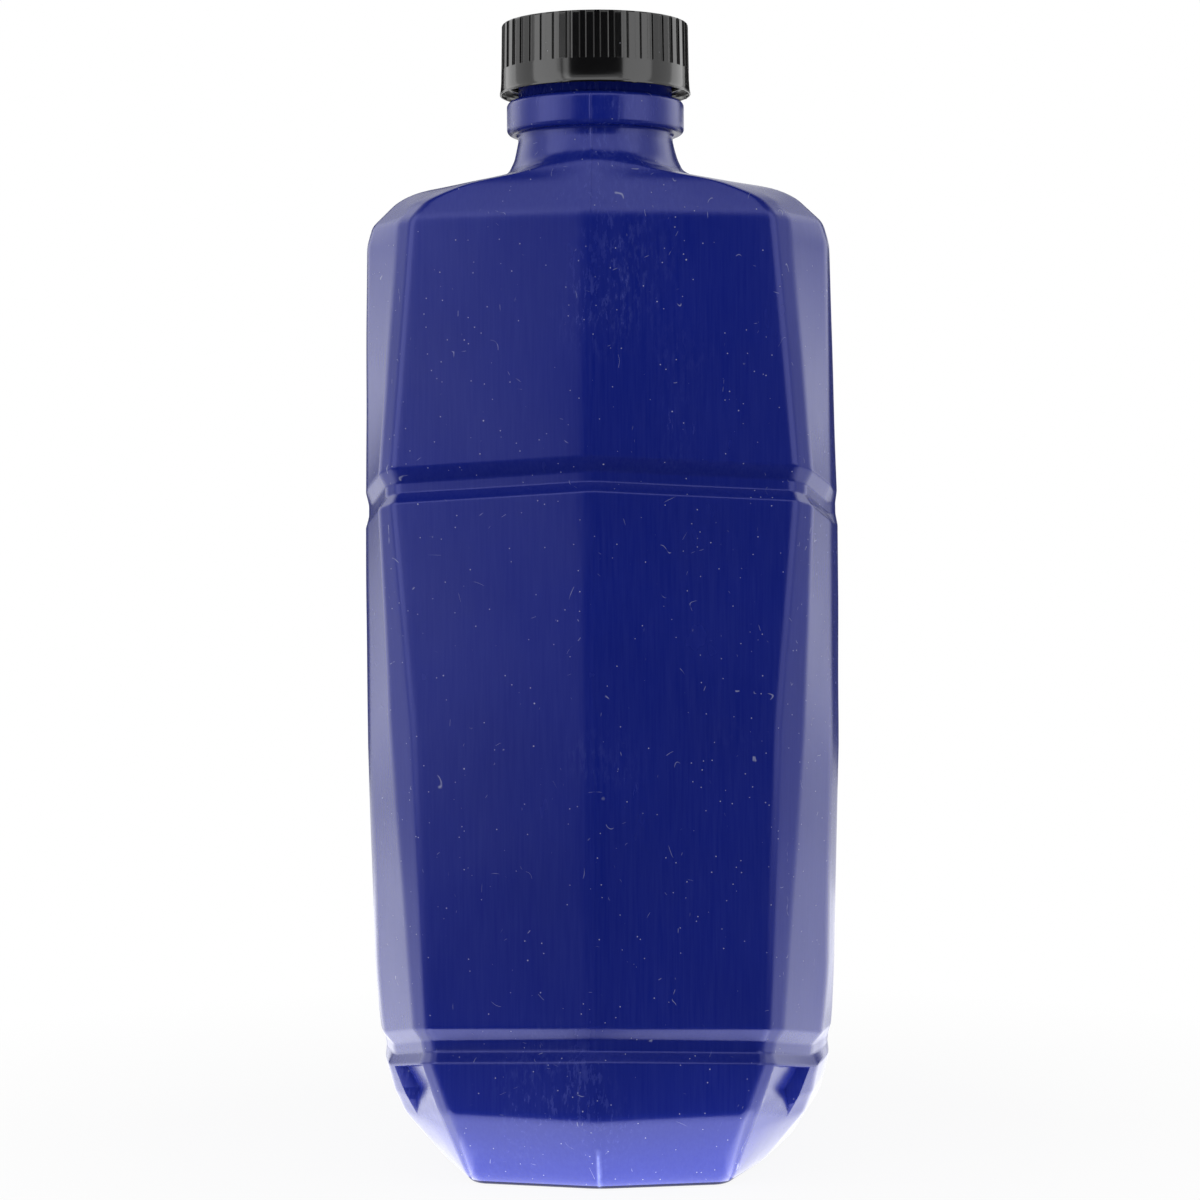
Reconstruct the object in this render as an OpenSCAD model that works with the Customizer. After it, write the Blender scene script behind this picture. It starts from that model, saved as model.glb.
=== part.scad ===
// One gallon blow-moulded jug for antifreeze, with a push-and-turn cap in two pieces.
// Millimetres. The jug stands on z = 0. Its narrow neck side is the front and faces -Y.
// Heights are taken at the front crease, depths are counted backwards from that crease.

/* [Body] */
// Width across the side walls
body_w = 126; // [116:1:134]
// Depth from the front crease to the back wall
body_d = 180; // [170:1:195]
// Thickness of the blown wall
wall = 1.1; // [0.9:0.1:1.5]
// Height of the chamfered foot at the front
foot_h = 20; // [16:1:24]
// How far the foot runs back under the front crease
foot_back = 12; // [8:0.5:14]
// Height of the lower back part of the body, under the handle
low_body_h = 132; // [120:1:140]
// Rise of the sloped shelf under the handle opening
shelf_rise = 18; // [14:1:24]
// Depth of the upper part under the neck, in front of the handle opening
column_d = 98; // [92:1:104]
// Height of the top edge of the front panels
panel_top_z = 249; // [245:0.5:252]
// Height of the shoulder's outer edge
shoulder_z = 258; // [256:0.5:259]
// Height at which the neck meets the shoulder
neck_base_z = 263; // [262:0.5:265]

/* [Front panels] */
// Slope of each front panel, back from the middle crease
crease_tilt = 11; // [8:0.5:14]
// Width of the two front panels at the resting face
panel_w_bottom = 63; // [58:1:68]
// Width of the two front panels at the top of the foot
panel_w_foot = 75; // [70:1:80]
// Width of the two front panels at the lower groove
panel_w_low = 87; // [84:1:90]
// Width of the two front panels half way up
panel_w_mid = 93.5; // [91:0.5:97]
// Width of the two front panels at the upper groove
panel_w_high = 104; // [100:1:106]
// Width of the two front panels at their top edge
panel_w_top = 92.5; // [89:0.5:96]
// Width of the chamfer strip beside the panels, at the grooves and the top
strip_w = 4; // [3:0.25:5]
// Width of the chamfer strip half way up
strip_w_mid = 6.5; // [5.5:0.25:7.5]
// Depth at which the corner facets end and the side walls begin
facet_d = 31; // [27:1:35]

/* [Grooves] */
// Height of the middle of the lower groove
low_groove_z = 39; // [36:0.5:42]
// Height of the middle of the upper groove
high_groove_z = 183; // [178:0.5:188]
// Height of each groove from lip to lip
groove_h = 9; // [7:0.5:11]
// Depth of each groove
groove_depth = 2.2; // [1.5:0.1:2.6]
// Slope of the lower groove, down towards the back
low_slope = 11; // [8:0.5:14]
// Slope of the upper groove, down towards the back
high_slope = 14; // [11:0.5:16]
// Depth over which the grooves slope before they run level
slope_run = 34; // [30:1:38]

/* [Corner pockets] */
// Height of each pocket's ceiling, which slopes with the lower groove
pocket_top_z = 34; // [33:0.25:34.25]
// Height of each pocket at its front end, from ceiling to tip
pocket_h = 14.5; // [12:0.5:16]
// Extra height of each pocket at its back end
pocket_drop = 3.3; // [2:0.1:4]
// Depth of the pocket's front end, just behind its rim
pocket_rim = 0.6; // [0.4:0.1:1]
// Depth of the pocket's back end under the ceiling
pocket_depth = 3.3; // [2.5:0.1:4]
// Depth of the pocket's back end at the crease in its floor
crease_depth = 4.3; // [3:0.1:5]
// Share of the pocket's height above the crease in its floor, at the front end
crease_share = 0.36; // [0.3:0.02:0.44]
// Fall of that crease from the front end to the back end
crease_fall = 4.2; // [3.6:0.1:4.6]
// Where each pocket starts behind the front crease
pocket_front = 12.8; // [12.5:0.1:14]
// Length of each pocket, front to back
pocket_len = 17.7; // [14:0.1:19]

/* [Handle] */
// Width of the handle
handle_w = 29; // [25:1:32]
// Thickness of the handle, front to back
handle_t = 25; // [22:1:28]
// Height of the middle line of the handle's top run
handle_z = 239; // [234:1:241]
// Bend radius of the handle's middle line
handle_bend_r = 32; // [26:1:36]

/* [Neck] */
// Depth of the neck axis behind the front crease
neck_back = 28; // [27:0.5:30]
// Bore of the neck
bore_d = 37; // [35:0.5:38]
// Outside of the neck finish, over its thread
finish_d = 42; // [41.6:0.1:42.4]
// Narrowest part of the neck, under the bumper ring
throat_d = 40.4; // [39.6:0.1:40.8]
// Foot of the neck where it flares into the shoulder
flare_d = 44.5; // [43.5:0.5:45]
// Outside of the bumper ring
ring_d = 46.2; // [45:0.1:46.6]
// Height of the underside of the bumper ring
ring_z = 272; // [271:0.1:273]
// Height of the bumper ring
ring_h = 8.6; // [7.5:0.1:8.8]
// Height of the neck's sealing face
land_z = 295; // [294.5:0.1:295.5]

/* [Cap] */
// Outside of the ribbed shell at the top of the cap
cap_d = 48.6; // [48.4:0.1:49.4]
// Outside of the lip at the bottom of the cap
lip_d = 49.8; // [49.6:0.1:50.6]
// Wall of the ribbed shell
shell_wall = 1.25; // [1.1:0.05:1.3]
// Wall of the threaded inner cap
inner_wall = 1; // [0.9:0.05:1.1]
// Thickness of the sealing liner
liner_t = 1; // [0.8:0.1:1.4]
// Distance that the shell can be pushed down
push_travel = 1.4; // [1:0.1:1.6]
// Height of the teeth and lugs that lock the shell to the inner cap
tooth_h = 0.9; // [0.7:0.1:1]
// Number of teeth and of lugs
tooth_count = 8; // [6:1:10]
// Number of finger ribs round the shell
rib_count = 40; // [30:1:48]
// Share of each rib pitch that is groove
rib_gap_share = 0.48; // [0.3:0.02:0.6]
// Depth of the grooves between the ribs
rib_depth = 0.5; // [0.3:0.05:0.55]
// Height of the smooth band below the ribs
band_h = 6.2; // [5:0.1:7]
// Length of the shell's skirt below the inner cap
skirt_drop = 3.1; // [3:0.1:3.5]
// Play between moving pieces of the cap
play = 0.4; // [0.3:0.05:0.4]

/* [Hidden] */
$fn = 96;
eps = 0.01;

front_y = -body_d / 2;
neck_y = front_y + neck_back;
half_w = body_w / 2;
mid_z = (low_groove_z + high_groove_z) / 2 + 9;
shelf_z = low_body_h + shelf_rise;
tilt = tan(crease_tilt);

// Heights in the stack of the cap, from the sealing face upwards.
inner_top_in = land_z + liner_t;
inner_top = inner_top_in + inner_wall;
shell_top_in = inner_top + tooth_h + push_travel + 0.2;
cap_top = shell_top_in + shell_wall;
skirt_z = ring_z + ring_h + push_travel + play;
inner_cap_z = skirt_z + skirt_drop;
inner_in_r = finish_d / 2 + play;
inner_out_r = inner_in_r + inner_wall;
shell_in_r = inner_out_r + play;

// Value of a table at z, with each bend of the table rounded over a height of 2 r.
function soft(z, table, r = 3) = (
    lookup(z - r, table) + 2 * lookup(z - r / 2, table) + 2 * lookup(z, table)
    + 2 * lookup(z + r / 2, table) + lookup(z + r, table)) / 8;

// Outline of half a level section: the front crease, the panel corner, the inner and the
// outer edge of the corner facet, the side wall's two ends, the back corner and the back.
// The first five follow z, and the last three follow zb, so that a shelf keeps its thickness.
function crease_y(z) = soft(z, [[0, foot_back], [foot_h, 0], [panel_top_z, 0],
    [neck_base_z, neck_back - flare_d / 2 - 1]], 1.5);
function panel_x(z) = soft(z, [[0, panel_w_bottom / 2], [foot_h, panel_w_foot / 2],
    [low_groove_z, panel_w_low / 2], [mid_z, panel_w_mid / 2], [high_groove_z, panel_w_high / 2],
    [panel_top_z, panel_w_top / 2], [shoulder_z - 4, panel_w_top / 2 - 4.5],
    [shoulder_z, panel_w_top / 2 - 15], [neck_base_z, 10]], 1.5);
function strip_x(z) = soft(z, [[0, strip_w * 0.6], [low_groove_z, strip_w * 0.9], [mid_z, strip_w_mid],
    [high_groove_z, strip_w], [shoulder_z, strip_w], [neck_base_z, 6]]);
function facet_x(z) = soft(z, [[0, half_w - 22], [foot_h - 5, half_w - 10.2], [foot_h + 2, half_w - 7.8],
    [foot_h + 10, half_w - 7], [low_groove_z + 9, half_w - 4.6], [60, half_w - 3.6], [mid_z, half_w - 2.2],
    [high_groove_z, half_w - 2], [panel_top_z - 5, half_w - 2.6], [panel_top_z, half_w - 4.2],
    [shoulder_z - 3, half_w - 11], [shoulder_z - 1, half_w - 15], [shoulder_z + 0.5, half_w - 21],
    [shoulder_z + 3, half_w - 38], [neck_base_z, flare_d / 2 - 0.5]], 1);
function facet_y(z) = soft(z, [[0, facet_d + 14], [foot_h, facet_d + 7], [low_groove_z, facet_d + 3],
    [mid_z, facet_d + 1], [high_groove_z, facet_d - 1], [panel_top_z, facet_d - 3], [neck_base_z, neck_back - 4]]);
function side_x(z) = soft(z, [[0, half_w - 12.5], [foot_h - 3, half_w - 4.6], [foot_h + 3, half_w - 3.8],
    [low_groove_z + 9, half_w - 2.2], [75, half_w - 1.2], [mid_z, half_w], [high_groove_z, half_w],
    [panel_top_z - 5, half_w - 1.8], [panel_top_z, half_w - 3.2], [shoulder_z - 3, half_w - 9.5],
    [shoulder_z - 0.5, half_w - 15], [shoulder_z + 1, half_w - 23], [shoulder_z + 3, half_w - 37],
    [neck_base_z, flare_d / 2]], 1);
function side_y(z) = soft(z, [[0, facet_d + 57], [foot_h, facet_d + 35], [low_groove_z, facet_d + 19],
    [60, facet_d + 13], [high_groove_z, facet_d + 11], [panel_top_z, facet_d + 9], [neck_base_z, neck_back + 4]]);
function rear_side_x(z) = soft(z, [[0, half_w - 11], [foot_h, half_w - 5], [low_groove_z, half_w - 1.5],
    [60, half_w - 0.5], [mid_z, half_w], [high_groove_z, half_w], [panel_top_z - 5, half_w - 3],
    [panel_top_z, half_w - 6], [shoulder_z, half_w - 24], [neck_base_z, flare_d / 2 - 2]], 2);
function rear_side_y(z) = soft(z, [[0, body_d - 30], [foot_h, body_d - 24], [low_body_h, body_d - 24],
    [shelf_z, column_d - 16], [panel_top_z, column_d - 28], [shoulder_z, column_d - 40],
    [neck_base_z, neck_back + 12]]);
function rear_x(z) = soft(z, [[0, 38], [foot_h, 43], [low_body_h, 44], [shelf_z, 40],
    [panel_top_z - 9, 38], [shoulder_z, 26], [neck_base_z, 12]]);
function rear_y(z) = soft(z, [[0, body_d - 9], [foot_h, body_d - 1.5], [foot_h + 12, body_d], [low_body_h, body_d],
    [shelf_z, column_d + 2], [panel_top_z - 9, column_d - 7], [panel_top_z, column_d - 12],
    [shoulder_z, column_d - 25], [neck_base_z, neck_back + flare_d / 2 - 1]]);

function outline(z, zb) =
    let (px = panel_x(z), sx = px + strip_x(z), py = crease_y(z) + px * tilt)
    [[0, crease_y(z) - crease_round * tilt / 2], [px, py], [sx, py + (sx - px) * strip_slope],
     [facet_x(z), facet_y(z)], [side_x(z), side_y(z)], [rear_side_x(z), rear_side_y(zb)],
     [rear_x(zb), rear_y(zb)], [0, rear_y(zb)]];

// Share of the groove's depth at each of those points: the grooves fade out on the side walls.
groove_share = [1, 1, 1, 1, 0.3, 0, 0, 0];
// Length of edge that each corner's rounding takes up, and the number of steps in it.
crease_round = 3;
// How steeply the chamfer strip runs back beside the panels.
strip_slope = 1.15;
setback = [crease_round, 2.2, 2, 2.5, 12, 16, 16, 0];
steps = [1, 2, 2, 2, 3, 4, 3, 0];

function unit(v) = v / norm(v);
function edge_out(a, b) = let (e = unit(b - a)) [e.y, -e.x];
function mirrored(p) = [-p.x, p.y];

// Depth of the grooves at height z: straight flanks and a flat floor.
function groove(z) = groove_depth * max([for (g = [low_groove_z, high_groove_z])
    let (u = abs(z - g) / (groove_h / 2)) max(0, min(1, (1 - u) / 0.7))]);

// The outline moved inwards, square to its edges.
function inset_outline(v, z, inset) = [for (i = [0:7])
    let (a = i == 0 ? mirrored(v[1]) : v[i - 1], b = i == 7 ? mirrored(v[6]) : v[i + 1],
         n1 = edge_out(a, v[i]), n2 = edge_out(v[i], b), d = inset + groove(z) * groove_share[i])
    v[i] - d * (n1 + n2) / (1 + n1 * n2)];

// The corner at v[i], rounded by a parabola.
function rounded(v, i) =
    let (a = v[i - 1], p = v[i], b = v[i + 1],
         t = min(setback[i], 0.45 * norm(p - a), 0.45 * norm(b - p)),
         s = p + t * unit(a - p), e = p + t * unit(b - p))
    [for (k = [0:steps[i]]) let (u = k / steps[i]) (1 - u) * (1 - u) * s + 2 * u * (1 - u) * p + u * u * e];

// One level ring of points, all the way round, lowered towards the back by the grooves' slope.
function slope_at(z) = soft(z, [[foot_h, 0], [low_groove_z - groove_h / 2, tan(low_slope)],
    [low_groove_z + groove_h / 2, tan(low_slope)], [high_groove_z - groove_h / 2, tan(high_slope)],
    [high_groove_z + groove_h / 2, tan(high_slope)], [panel_top_z - 4, 0]]);
function ring(z, zb, zs, inset) =
    let (v = inset_outline(outline(zs, zb), z, inset), crease_end = v[0] + crease_round * unit(v[1] - v[0]),
         half = concat([[0, (v[0].y + crease_end.y) / 2], crease_end],
             [for (i = [1:6]) each rounded(v, i)], [v[7]]),
         n = len(half))
    [for (i = [0:2 * n - 3]) let (p = i < n ? half[i] : mirrored(half[2 * n - 2 - i]))
        [p.x, front_y + p.y, z - slope_at(z) * min(max(p.y, 0), slope_run)]];

// A closed solid through rings of equal length.
module loft(rings) {
    n = len(rings[0]);
    last = len(rings) - 1;
    walls = [for (j = [0:last - 1], i = [0:n - 1])
        let (a = j * n + i, b = j * n + (i + 1) % n) each [[a, b + n, b], [a, a + n, b + n]]];
    polyhedron([for (r = rings) each r],
        concat([[for (i = [0:n - 1]) i]], walls, [[for (i = [n - 1:-1:0]) last * n + i]]), convexity = 10);
}

groove_levels = [-0.6, -0.5, -0.4, -0.15, 0.15, 0.4, 0.5, 0.6];
outer_levels = concat([0, 0.7, 2, 3.5, 8, foot_h - 6, foot_h - 3, foot_h, foot_h + 3, foot_h + 8],
    [for (g = groove_levels) low_groove_z + g * groove_h],
    [50, 58, 66, 80, 100, mid_z, 125, low_body_h - 3, low_body_h, low_body_h + 3, (low_body_h + shelf_z) / 2,
     shelf_z - 3, shelf_z, shelf_z + 3, 165],
    [for (g = groove_levels) high_groove_z + g * groove_h],
    [205, 222, 235, 241, 245, 248, 251, 253.5, 255.5, 257, 258.5, 260, 261.5, neck_base_z]);
inner_levels = concat([wall, 3, 8, 16, 20, 25],
    [for (g = groove_levels) low_groove_z + g * groove_h],
    [54, 66, 90, mid_z, 124, low_body_h - 4, low_body_h - 1, low_body_h + 3, shelf_z - 6, shelf_z - 2, shelf_z + 3, 165],
    [for (g = groove_levels) high_groove_z + g * groove_h],
    [215, 236, 243, 247, 250, 253, 256, 258.5, 260.5, neck_base_z - wall]);

// The edge of the resting face is rounded.
function base_inset(z) = lookup(z, [[0, 1.8], [0.7, 0.8], [2, 0.2], [3.5, 0]]);

module blown_outside() {
    loft([for (z = outer_levels) ring(z, z, z, base_inset(z))]);
}

module blown_inside() {
    loft([for (z = inner_levels)
        let (front = lookup(z, [[foot_h, -1], [foot_h + 8, 0], [215, 0], [232, 1]]),
             back = lookup(z, [[foot_h, -1], [foot_h + 8, 0], [105, 0], [120, 1]]))
        ring(z, max(0, z + back * wall), max(0, z + front * wall), wall)]);
}

// Middle line of the handle: back from the upper part, round the bend and down into the lower part.
handle_y = body_d - handle_t / 2 - 1;
handle_route = concat(
    [for (y = [-28, -16, -6, 6]) [column_d + y, handle_z, 0]],
    [for (a = [0:15:90]) [handle_y - handle_bend_r + handle_bend_r * sin(a),
        handle_z - handle_bend_r + handle_bend_r * cos(a), a]],
    [for (z = [53, 28, 14, 4, -6, -20]) [handle_y, low_body_h + z, 90]]);
// The handle swells where it runs into the body.
function handle_swell(p) = 1 + 0.5 * max(0, 1 - (p.x - column_d + 16) / 22)
    + 0.5 * max(0, 1 - (p.y - low_body_h - 2) / 24);

module handle_tube(inset, sides) {
    loft([for (p = handle_route)
        let (s = min(1.5, handle_swell(p)), a = handle_w / 2 * s - inset, b = handle_t / 2 - inset)
        [for (k = [0:sides - 1])
            let (q = -360 * k / sides, c = cos(q), d = sin(q), x = a * sign(c) * pow(abs(c), 0.75),
                 r = b * sign(d) * pow(abs(d), 0.75))
            [x, front_y + p.x + r * sin(p.z), p.y + r * cos(p.z)]]]);
}

// Where the corner facet lies across the body, at depth y on the level ring z.
function facet_at(y, z) =
    let (px = panel_x(z), sx = px + strip_x(z), sy = crease_y(z) + px * tilt + (sx - px) * strip_slope)
    sx + (facet_x(z) - sx) * (y - sy) / (facet_y(z) - sy);
function lowered(x, y, z) = [x, front_y + y, z - slope_at(z) * min(y, slope_run)];

// A wedge sunk in the corner facet under the lower groove: a ceiling, a back wall that faces
// the front, and a floor in two parts that runs out at the tips.
module corner_pocket(grow) {
    top = pocket_top_z + grow;
    tip = pocket_top_z - pocket_h - 2 * grow;
    crease = pocket_top_z - crease_share * pocket_h;
    for (side = [-1, 1])
        loft([for (end = [0, 1])
            let (y = pocket_front - grow + end * (pocket_len + 2 * grow),
                 levels = [top, crease - end * crease_fall, tip - end * pocket_drop],
                 depths = end == 0 ? [pocket_rim, pocket_rim, 0] : [pocket_depth, crease_depth, 0],
                 floor = [for (k = [0:2]) lowered(side * (facet_at(y, levels[k]) - depths[k] - grow), y, levels[k])],
                 outside = [for (k = [2, 0]) lowered(side * (half_w + 8), y, levels[k])],
                 face = concat(floor, outside))
            side < 0 ? face : [for (k = [4:-1:0]) face[k]]]);
}

// The blown shell, held to its stated width and depth, and open where the neck stands.
module blown_shell() {
    resize([body_w, body_d, 0])
        difference() {
            union() {
                blown_outside();
                handle_tube(0, 20);
            }
            corner_pocket(0);
            difference() {
                blown_inside();
                corner_pocket(wall);
            }
            handle_tube(wall, 16);
            translate([0, neck_y, neck_base_z - 10])
                cylinder(d = bore_d + 1, h = 20, $fn = 40);
        }
}

// Quarter circle from angle a to b, for rounded edges of turned profiles.
function arc(c, r, a, b, count = 6) = [for (k = [0:count]) let (q = a + (b - a) * k / count)
    c + r * [cos(q), sin(q)]];

module neck() {
    ring_r = ring_d / 2;
    ring_edge = 1.5;
    foot_z = neck_base_z - wall - 0.1;
    translate([0, neck_y, 0])
        rotate_extrude()
            polygon(concat([[0, foot_z], [flare_d / 2, foot_z], [flare_d / 2, neck_base_z]],
                [for (k = [1:4]) let (u = k / 4)
                    [flare_d / 2 + (throat_d - flare_d) / 2 * u * (2 - u), neck_base_z + 7 * u]],
                [[throat_d / 2, ring_z]],
                arc([ring_r - ring_edge, ring_z + ring_edge], ring_edge, -90, 0),
                arc([ring_r - ring_edge, ring_z + ring_h - ring_edge], ring_edge, 0, 90),
                [[finish_d / 2, ring_z + ring_h], [finish_d / 2, land_z - 0.8], [finish_d / 2 - 0.8, land_z],
                 [0, land_z]]));
}

module jug() {
    color([0.1, 0.1, 0.42])
        difference() {
            union() {
                blown_shell();
                neck();
            }
            translate([0, neck_y, neck_base_z - 8])
                cylinder(d = bore_d, h = land_z - neck_base_z + 10);
        }
}

module cap_liner() {
    color([0.9, 0.9, 0.88])
        translate([0, neck_y, land_z])
            cylinder(r = inner_in_r - 0.3, h = liner_t);
}

// One ring of lugs, standing out from a flat face.
module lug_ring(z, turn, half_angle) {
    for (k = [0:tooth_count - 1])
        rotate([0, 0, turn + 360 * k / tooth_count])
            translate([0, 0, z])
                rotate([0, 0, -half_angle])
                    rotate_extrude(angle = 2 * half_angle)
                        translate([inner_out_r - 6, 0])
                            square([4, tooth_h + eps]);
}

module inner_cap() {
    color([0.13, 0.13, 0.14])
        translate([0, neck_y, 0]) {
            rotate_extrude()
                polygon([[0, inner_top_in], [inner_in_r, inner_top_in], [inner_in_r, inner_cap_z],
                    [inner_out_r, inner_cap_z], [inner_out_r, inner_top - 0.6], [inner_out_r - 0.6, inner_top],
                    [0, inner_top]]);
            lug_ring(inner_top - eps, 180 / tooth_count, 5);
        }
}

module shell_body() {
    bead_z = inner_cap_z - play - 0.6;
    rotate_extrude()
        polygon([[0, shell_top_in], [shell_in_r, shell_top_in], [shell_in_r, bead_z + 1.2],
            [shell_in_r - play - 0.2, bead_z + 0.6], [shell_in_r - play - 0.2, bead_z], [shell_in_r + 0.2, bead_z - 0.8],
            [lip_d / 2 - 1.1, skirt_z], [lip_d / 2, skirt_z], [lip_d / 2, skirt_z + 0.9],
            [lip_d / 2 - 0.35, skirt_z + 1.3], [cap_d / 2, cap_top - 0.6], [cap_d / 2 - 0.6, cap_top], [0, cap_top]]);
}

module cap_shell() {
    gap_w = PI * cap_d / rib_count * rib_gap_share;
    ribs_z = skirt_z + band_h;
    color([0.04, 0.04, 0.04])
        translate([0, neck_y, 0]) {
            difference() {
                shell_body();
                for (k = [0:rib_count - 1])
                    rotate([0, 0, 360 * (k + 0.5) / rib_count])
                        translate([cap_d / 2 - rib_depth, -gap_w / 2, ribs_z])
                            cube([5, gap_w, cap_top - ribs_z + 1]);
            }
            lug_ring(shell_top_in - tooth_h, 0, 4);
        }
}

jug();
cap_liner();
inner_cap();
cap_shell();
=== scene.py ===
"""Looks of a one gallon blow-moulded antifreeze jug with a push-and-turn cap."""

import math
from types import SimpleNamespace

import bmesh
import bpy
import numpy as np
from bpy.props import FloatProperty, FloatVectorProperty, IntProperty, PointerProperty
from bpy.types import Operator, Panel, PropertyGroup
from mathutils import Matrix, Vector
from mathutils.kdtree import KDTree


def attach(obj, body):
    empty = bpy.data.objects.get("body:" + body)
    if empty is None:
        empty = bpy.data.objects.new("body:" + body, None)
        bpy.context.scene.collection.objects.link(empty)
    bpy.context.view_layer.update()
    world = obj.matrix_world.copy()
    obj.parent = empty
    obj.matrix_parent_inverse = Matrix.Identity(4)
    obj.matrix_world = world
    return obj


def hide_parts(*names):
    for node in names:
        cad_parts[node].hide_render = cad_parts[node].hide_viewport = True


bl_info = {
    "name": "Blown jug maker",
    "version": (1, 0, 0),
    "blender": (4, 5, 0),
    "location": "3D View > Sidebar > Jug",
    "description": "Builds a blow-moulded jug, its push-and-turn cap and a pale studio",
    "category": "Add Mesh",
}

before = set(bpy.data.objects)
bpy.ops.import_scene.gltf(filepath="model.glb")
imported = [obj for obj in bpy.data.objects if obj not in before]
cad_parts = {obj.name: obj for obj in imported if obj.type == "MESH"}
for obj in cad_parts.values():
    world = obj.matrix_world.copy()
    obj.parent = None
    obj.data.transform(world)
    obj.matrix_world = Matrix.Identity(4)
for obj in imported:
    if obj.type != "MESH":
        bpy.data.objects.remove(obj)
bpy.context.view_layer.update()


def length(name, description, default, low, high):
    return FloatProperty(name=name, description=description, default=default, min=low, max=high,
                         unit="LENGTH", precision=4)


def share(name, description, default):
    return FloatProperty(name=name, description=description, default=default, min=0.0, max=1.0,
                         subtype="FACTOR")


def radiance(name, description, default):
    """A setting for how bright one part of the light tent is."""
    return FloatProperty(name=name, description=description, default=default, min=0.0)


def colour(name, description, default):
    return FloatVectorProperty(name=name, description=description, default=default, size=3, min=0.0, max=1.0,
                               subtype="COLOR")


class JugSizes(PropertyGroup):
    """Sizes of the blown body, its handle and its neck."""

    body_w: length("Body width", "Across the side walls", 0.126, 0.116, 0.134)
    body_d: length("Body depth", "From the front crease to the back wall", 0.18, 0.17, 0.195)
    wall: length("Wall", "Thickness of the blown wall", 0.0011, 0.0009, 0.0015)
    foot_h: length("Foot height", "Height of the chamfered foot", 0.02, 0.016, 0.024)
    foot_back: length("Foot depth", "How far the foot runs back under the crease", 0.012, 0.008, 0.014)
    low_body_h: length("Lower body height", "Height of the body under the handle", 0.132, 0.12, 0.14)
    shelf_rise: length("Shelf rise", "Rise of the sloped shelf", 0.018, 0.014, 0.024)
    column_d: length("Upper body depth", "Depth in front of the handle opening", 0.098, 0.092, 0.104)
    panel_top_z: length("Panel top", "Height of the front panels' top edge", 0.249, 0.245, 0.252)
    shoulder_z: length("Shoulder", "Height of the shoulder's outer edge", 0.258, 0.256, 0.259)
    neck_base_z: length("Neck foot", "Height where the neck meets the shoulder", 0.263, 0.262, 0.265)
    low_groove_z: length("Lower groove", "Height of the lower groove's middle", 0.039, 0.036, 0.042)
    high_groove_z: length("Upper groove", "Height of the upper groove's middle", 0.183, 0.178, 0.188)
    groove_h: length("Groove height", "Height of a groove from lip to lip", 0.009, 0.007, 0.011)
    groove_depth: length("Groove depth", "Depth of a groove", 0.0022, 0.0015, 0.0026)
    pocket_top_z: length("Pocket ceiling", "Height of the corner pockets' ceiling", 0.034, 0.033, 0.0343)
    pocket_h: length("Pocket height", "Height of a pocket at its front end", 0.0145, 0.012, 0.016)
    pocket_depth: length("Pocket depth", "Depth of a pocket's back end", 0.0043, 0.003, 0.005)
    pocket_front: length("Pocket front", "Where the pockets start behind the crease", 0.0128, 0.0125, 0.014)
    pocket_len: length("Pocket length", "Length of a pocket, front to back", 0.0177, 0.014, 0.019)
    handle_w: length("Handle width", "Width of the handle", 0.029, 0.025, 0.032)
    handle_t: length("Handle thickness", "Thickness of the handle", 0.025, 0.022, 0.028)
    handle_z: length("Handle height", "Middle line of the handle's top run", 0.239, 0.234, 0.241)
    handle_bend_r: length("Handle bend", "Bend radius of the handle's middle line", 0.032, 0.026, 0.036)
    neck_back: length("Neck axis", "Depth of the neck axis behind the crease", 0.028, 0.027, 0.03)
    bore_d: length("Bore", "Bore of the neck", 0.037, 0.035, 0.038)
    thread_d: length("Thread", "Outside of the neck's thread", 0.042, 0.0416, 0.0424)
    thread_root_d: length("Thread root", "Neck wall between the threads", 0.04, 0.0395, 0.0405)
    pitch: length("Pitch", "Rise of the thread in one turn", 0.0042333, 0.003, 0.005)
    throat_d: length("Throat", "Narrowest part of the neck", 0.0404, 0.0396, 0.0408)
    flare_d: length("Neck flare", "Foot of the neck", 0.0445, 0.0435, 0.045)
    ring_d: length("Bumper ring", "Outside of the bumper ring", 0.0462, 0.045, 0.0466)
    ring_z: length("Ring underside", "Height of the ring's underside", 0.272, 0.271, 0.273)
    ring_h: length("Ring height", "Height of the bumper ring", 0.0086, 0.0075, 0.0088)
    land_z: length("Sealing face", "Height of the neck's sealing face", 0.295, 0.2945, 0.2955)
    parting_h: length("Parting line", "Height of the moulding line", 0.00016, 0.0, 0.0005)


class CapSizes(PropertyGroup):
    """Sizes of the two pieces of the cap."""

    cap_d: length("Cap", "Outside of the ribs at the top", 0.0486, 0.0484, 0.0494)
    lip_d: length("Lip", "Outside of the lip", 0.0498, 0.0496, 0.0506)
    cap_top: length("Cap top", "Height of the cap's top", 0.30075, 0.3, 0.302)
    shell_wall: length("Shell wall", "Wall of the ribbed shell", 0.00125, 0.0011, 0.0013)
    inner_wall: length("Inner wall", "Wall of the threaded inner cap", 0.001, 0.0009, 0.0011)
    skirt_z: length("Skirt", "Height of the skirt's lower edge", 0.2824, 0.282, 0.283)
    inner_z: length("Inner cap's edge", "Height of the inner cap's lower edge", 0.2855, 0.285, 0.286)
    inner_top: length("Inner cap's top", "Height of the inner cap's top", 0.297, 0.2965, 0.2975)
    band_h: length("Band", "Height of the smooth band", 0.0062, 0.005, 0.007)
    rib_depth: length("Rib depth", "Depth of the grooves between the ribs", 0.0005, 0.0003, 0.00055)
    play: length("Play", "Play between moving pieces", 0.0004, 0.0003, 0.0004)
    tooth_h: length("Teeth", "Height of the teeth and lugs", 0.0009, 0.0007, 0.001)
    rib_count: IntProperty(name="Ribs", description="Number of finger ribs", default=42, min=30, max=48)
    tooth_count: IntProperty(name="Teeth", description="Number of teeth and of lugs", default=8,
                             min=6, max=10)
    rib_gap: share("Groove share", "Share of each rib pitch that is groove", 0.48)


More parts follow.
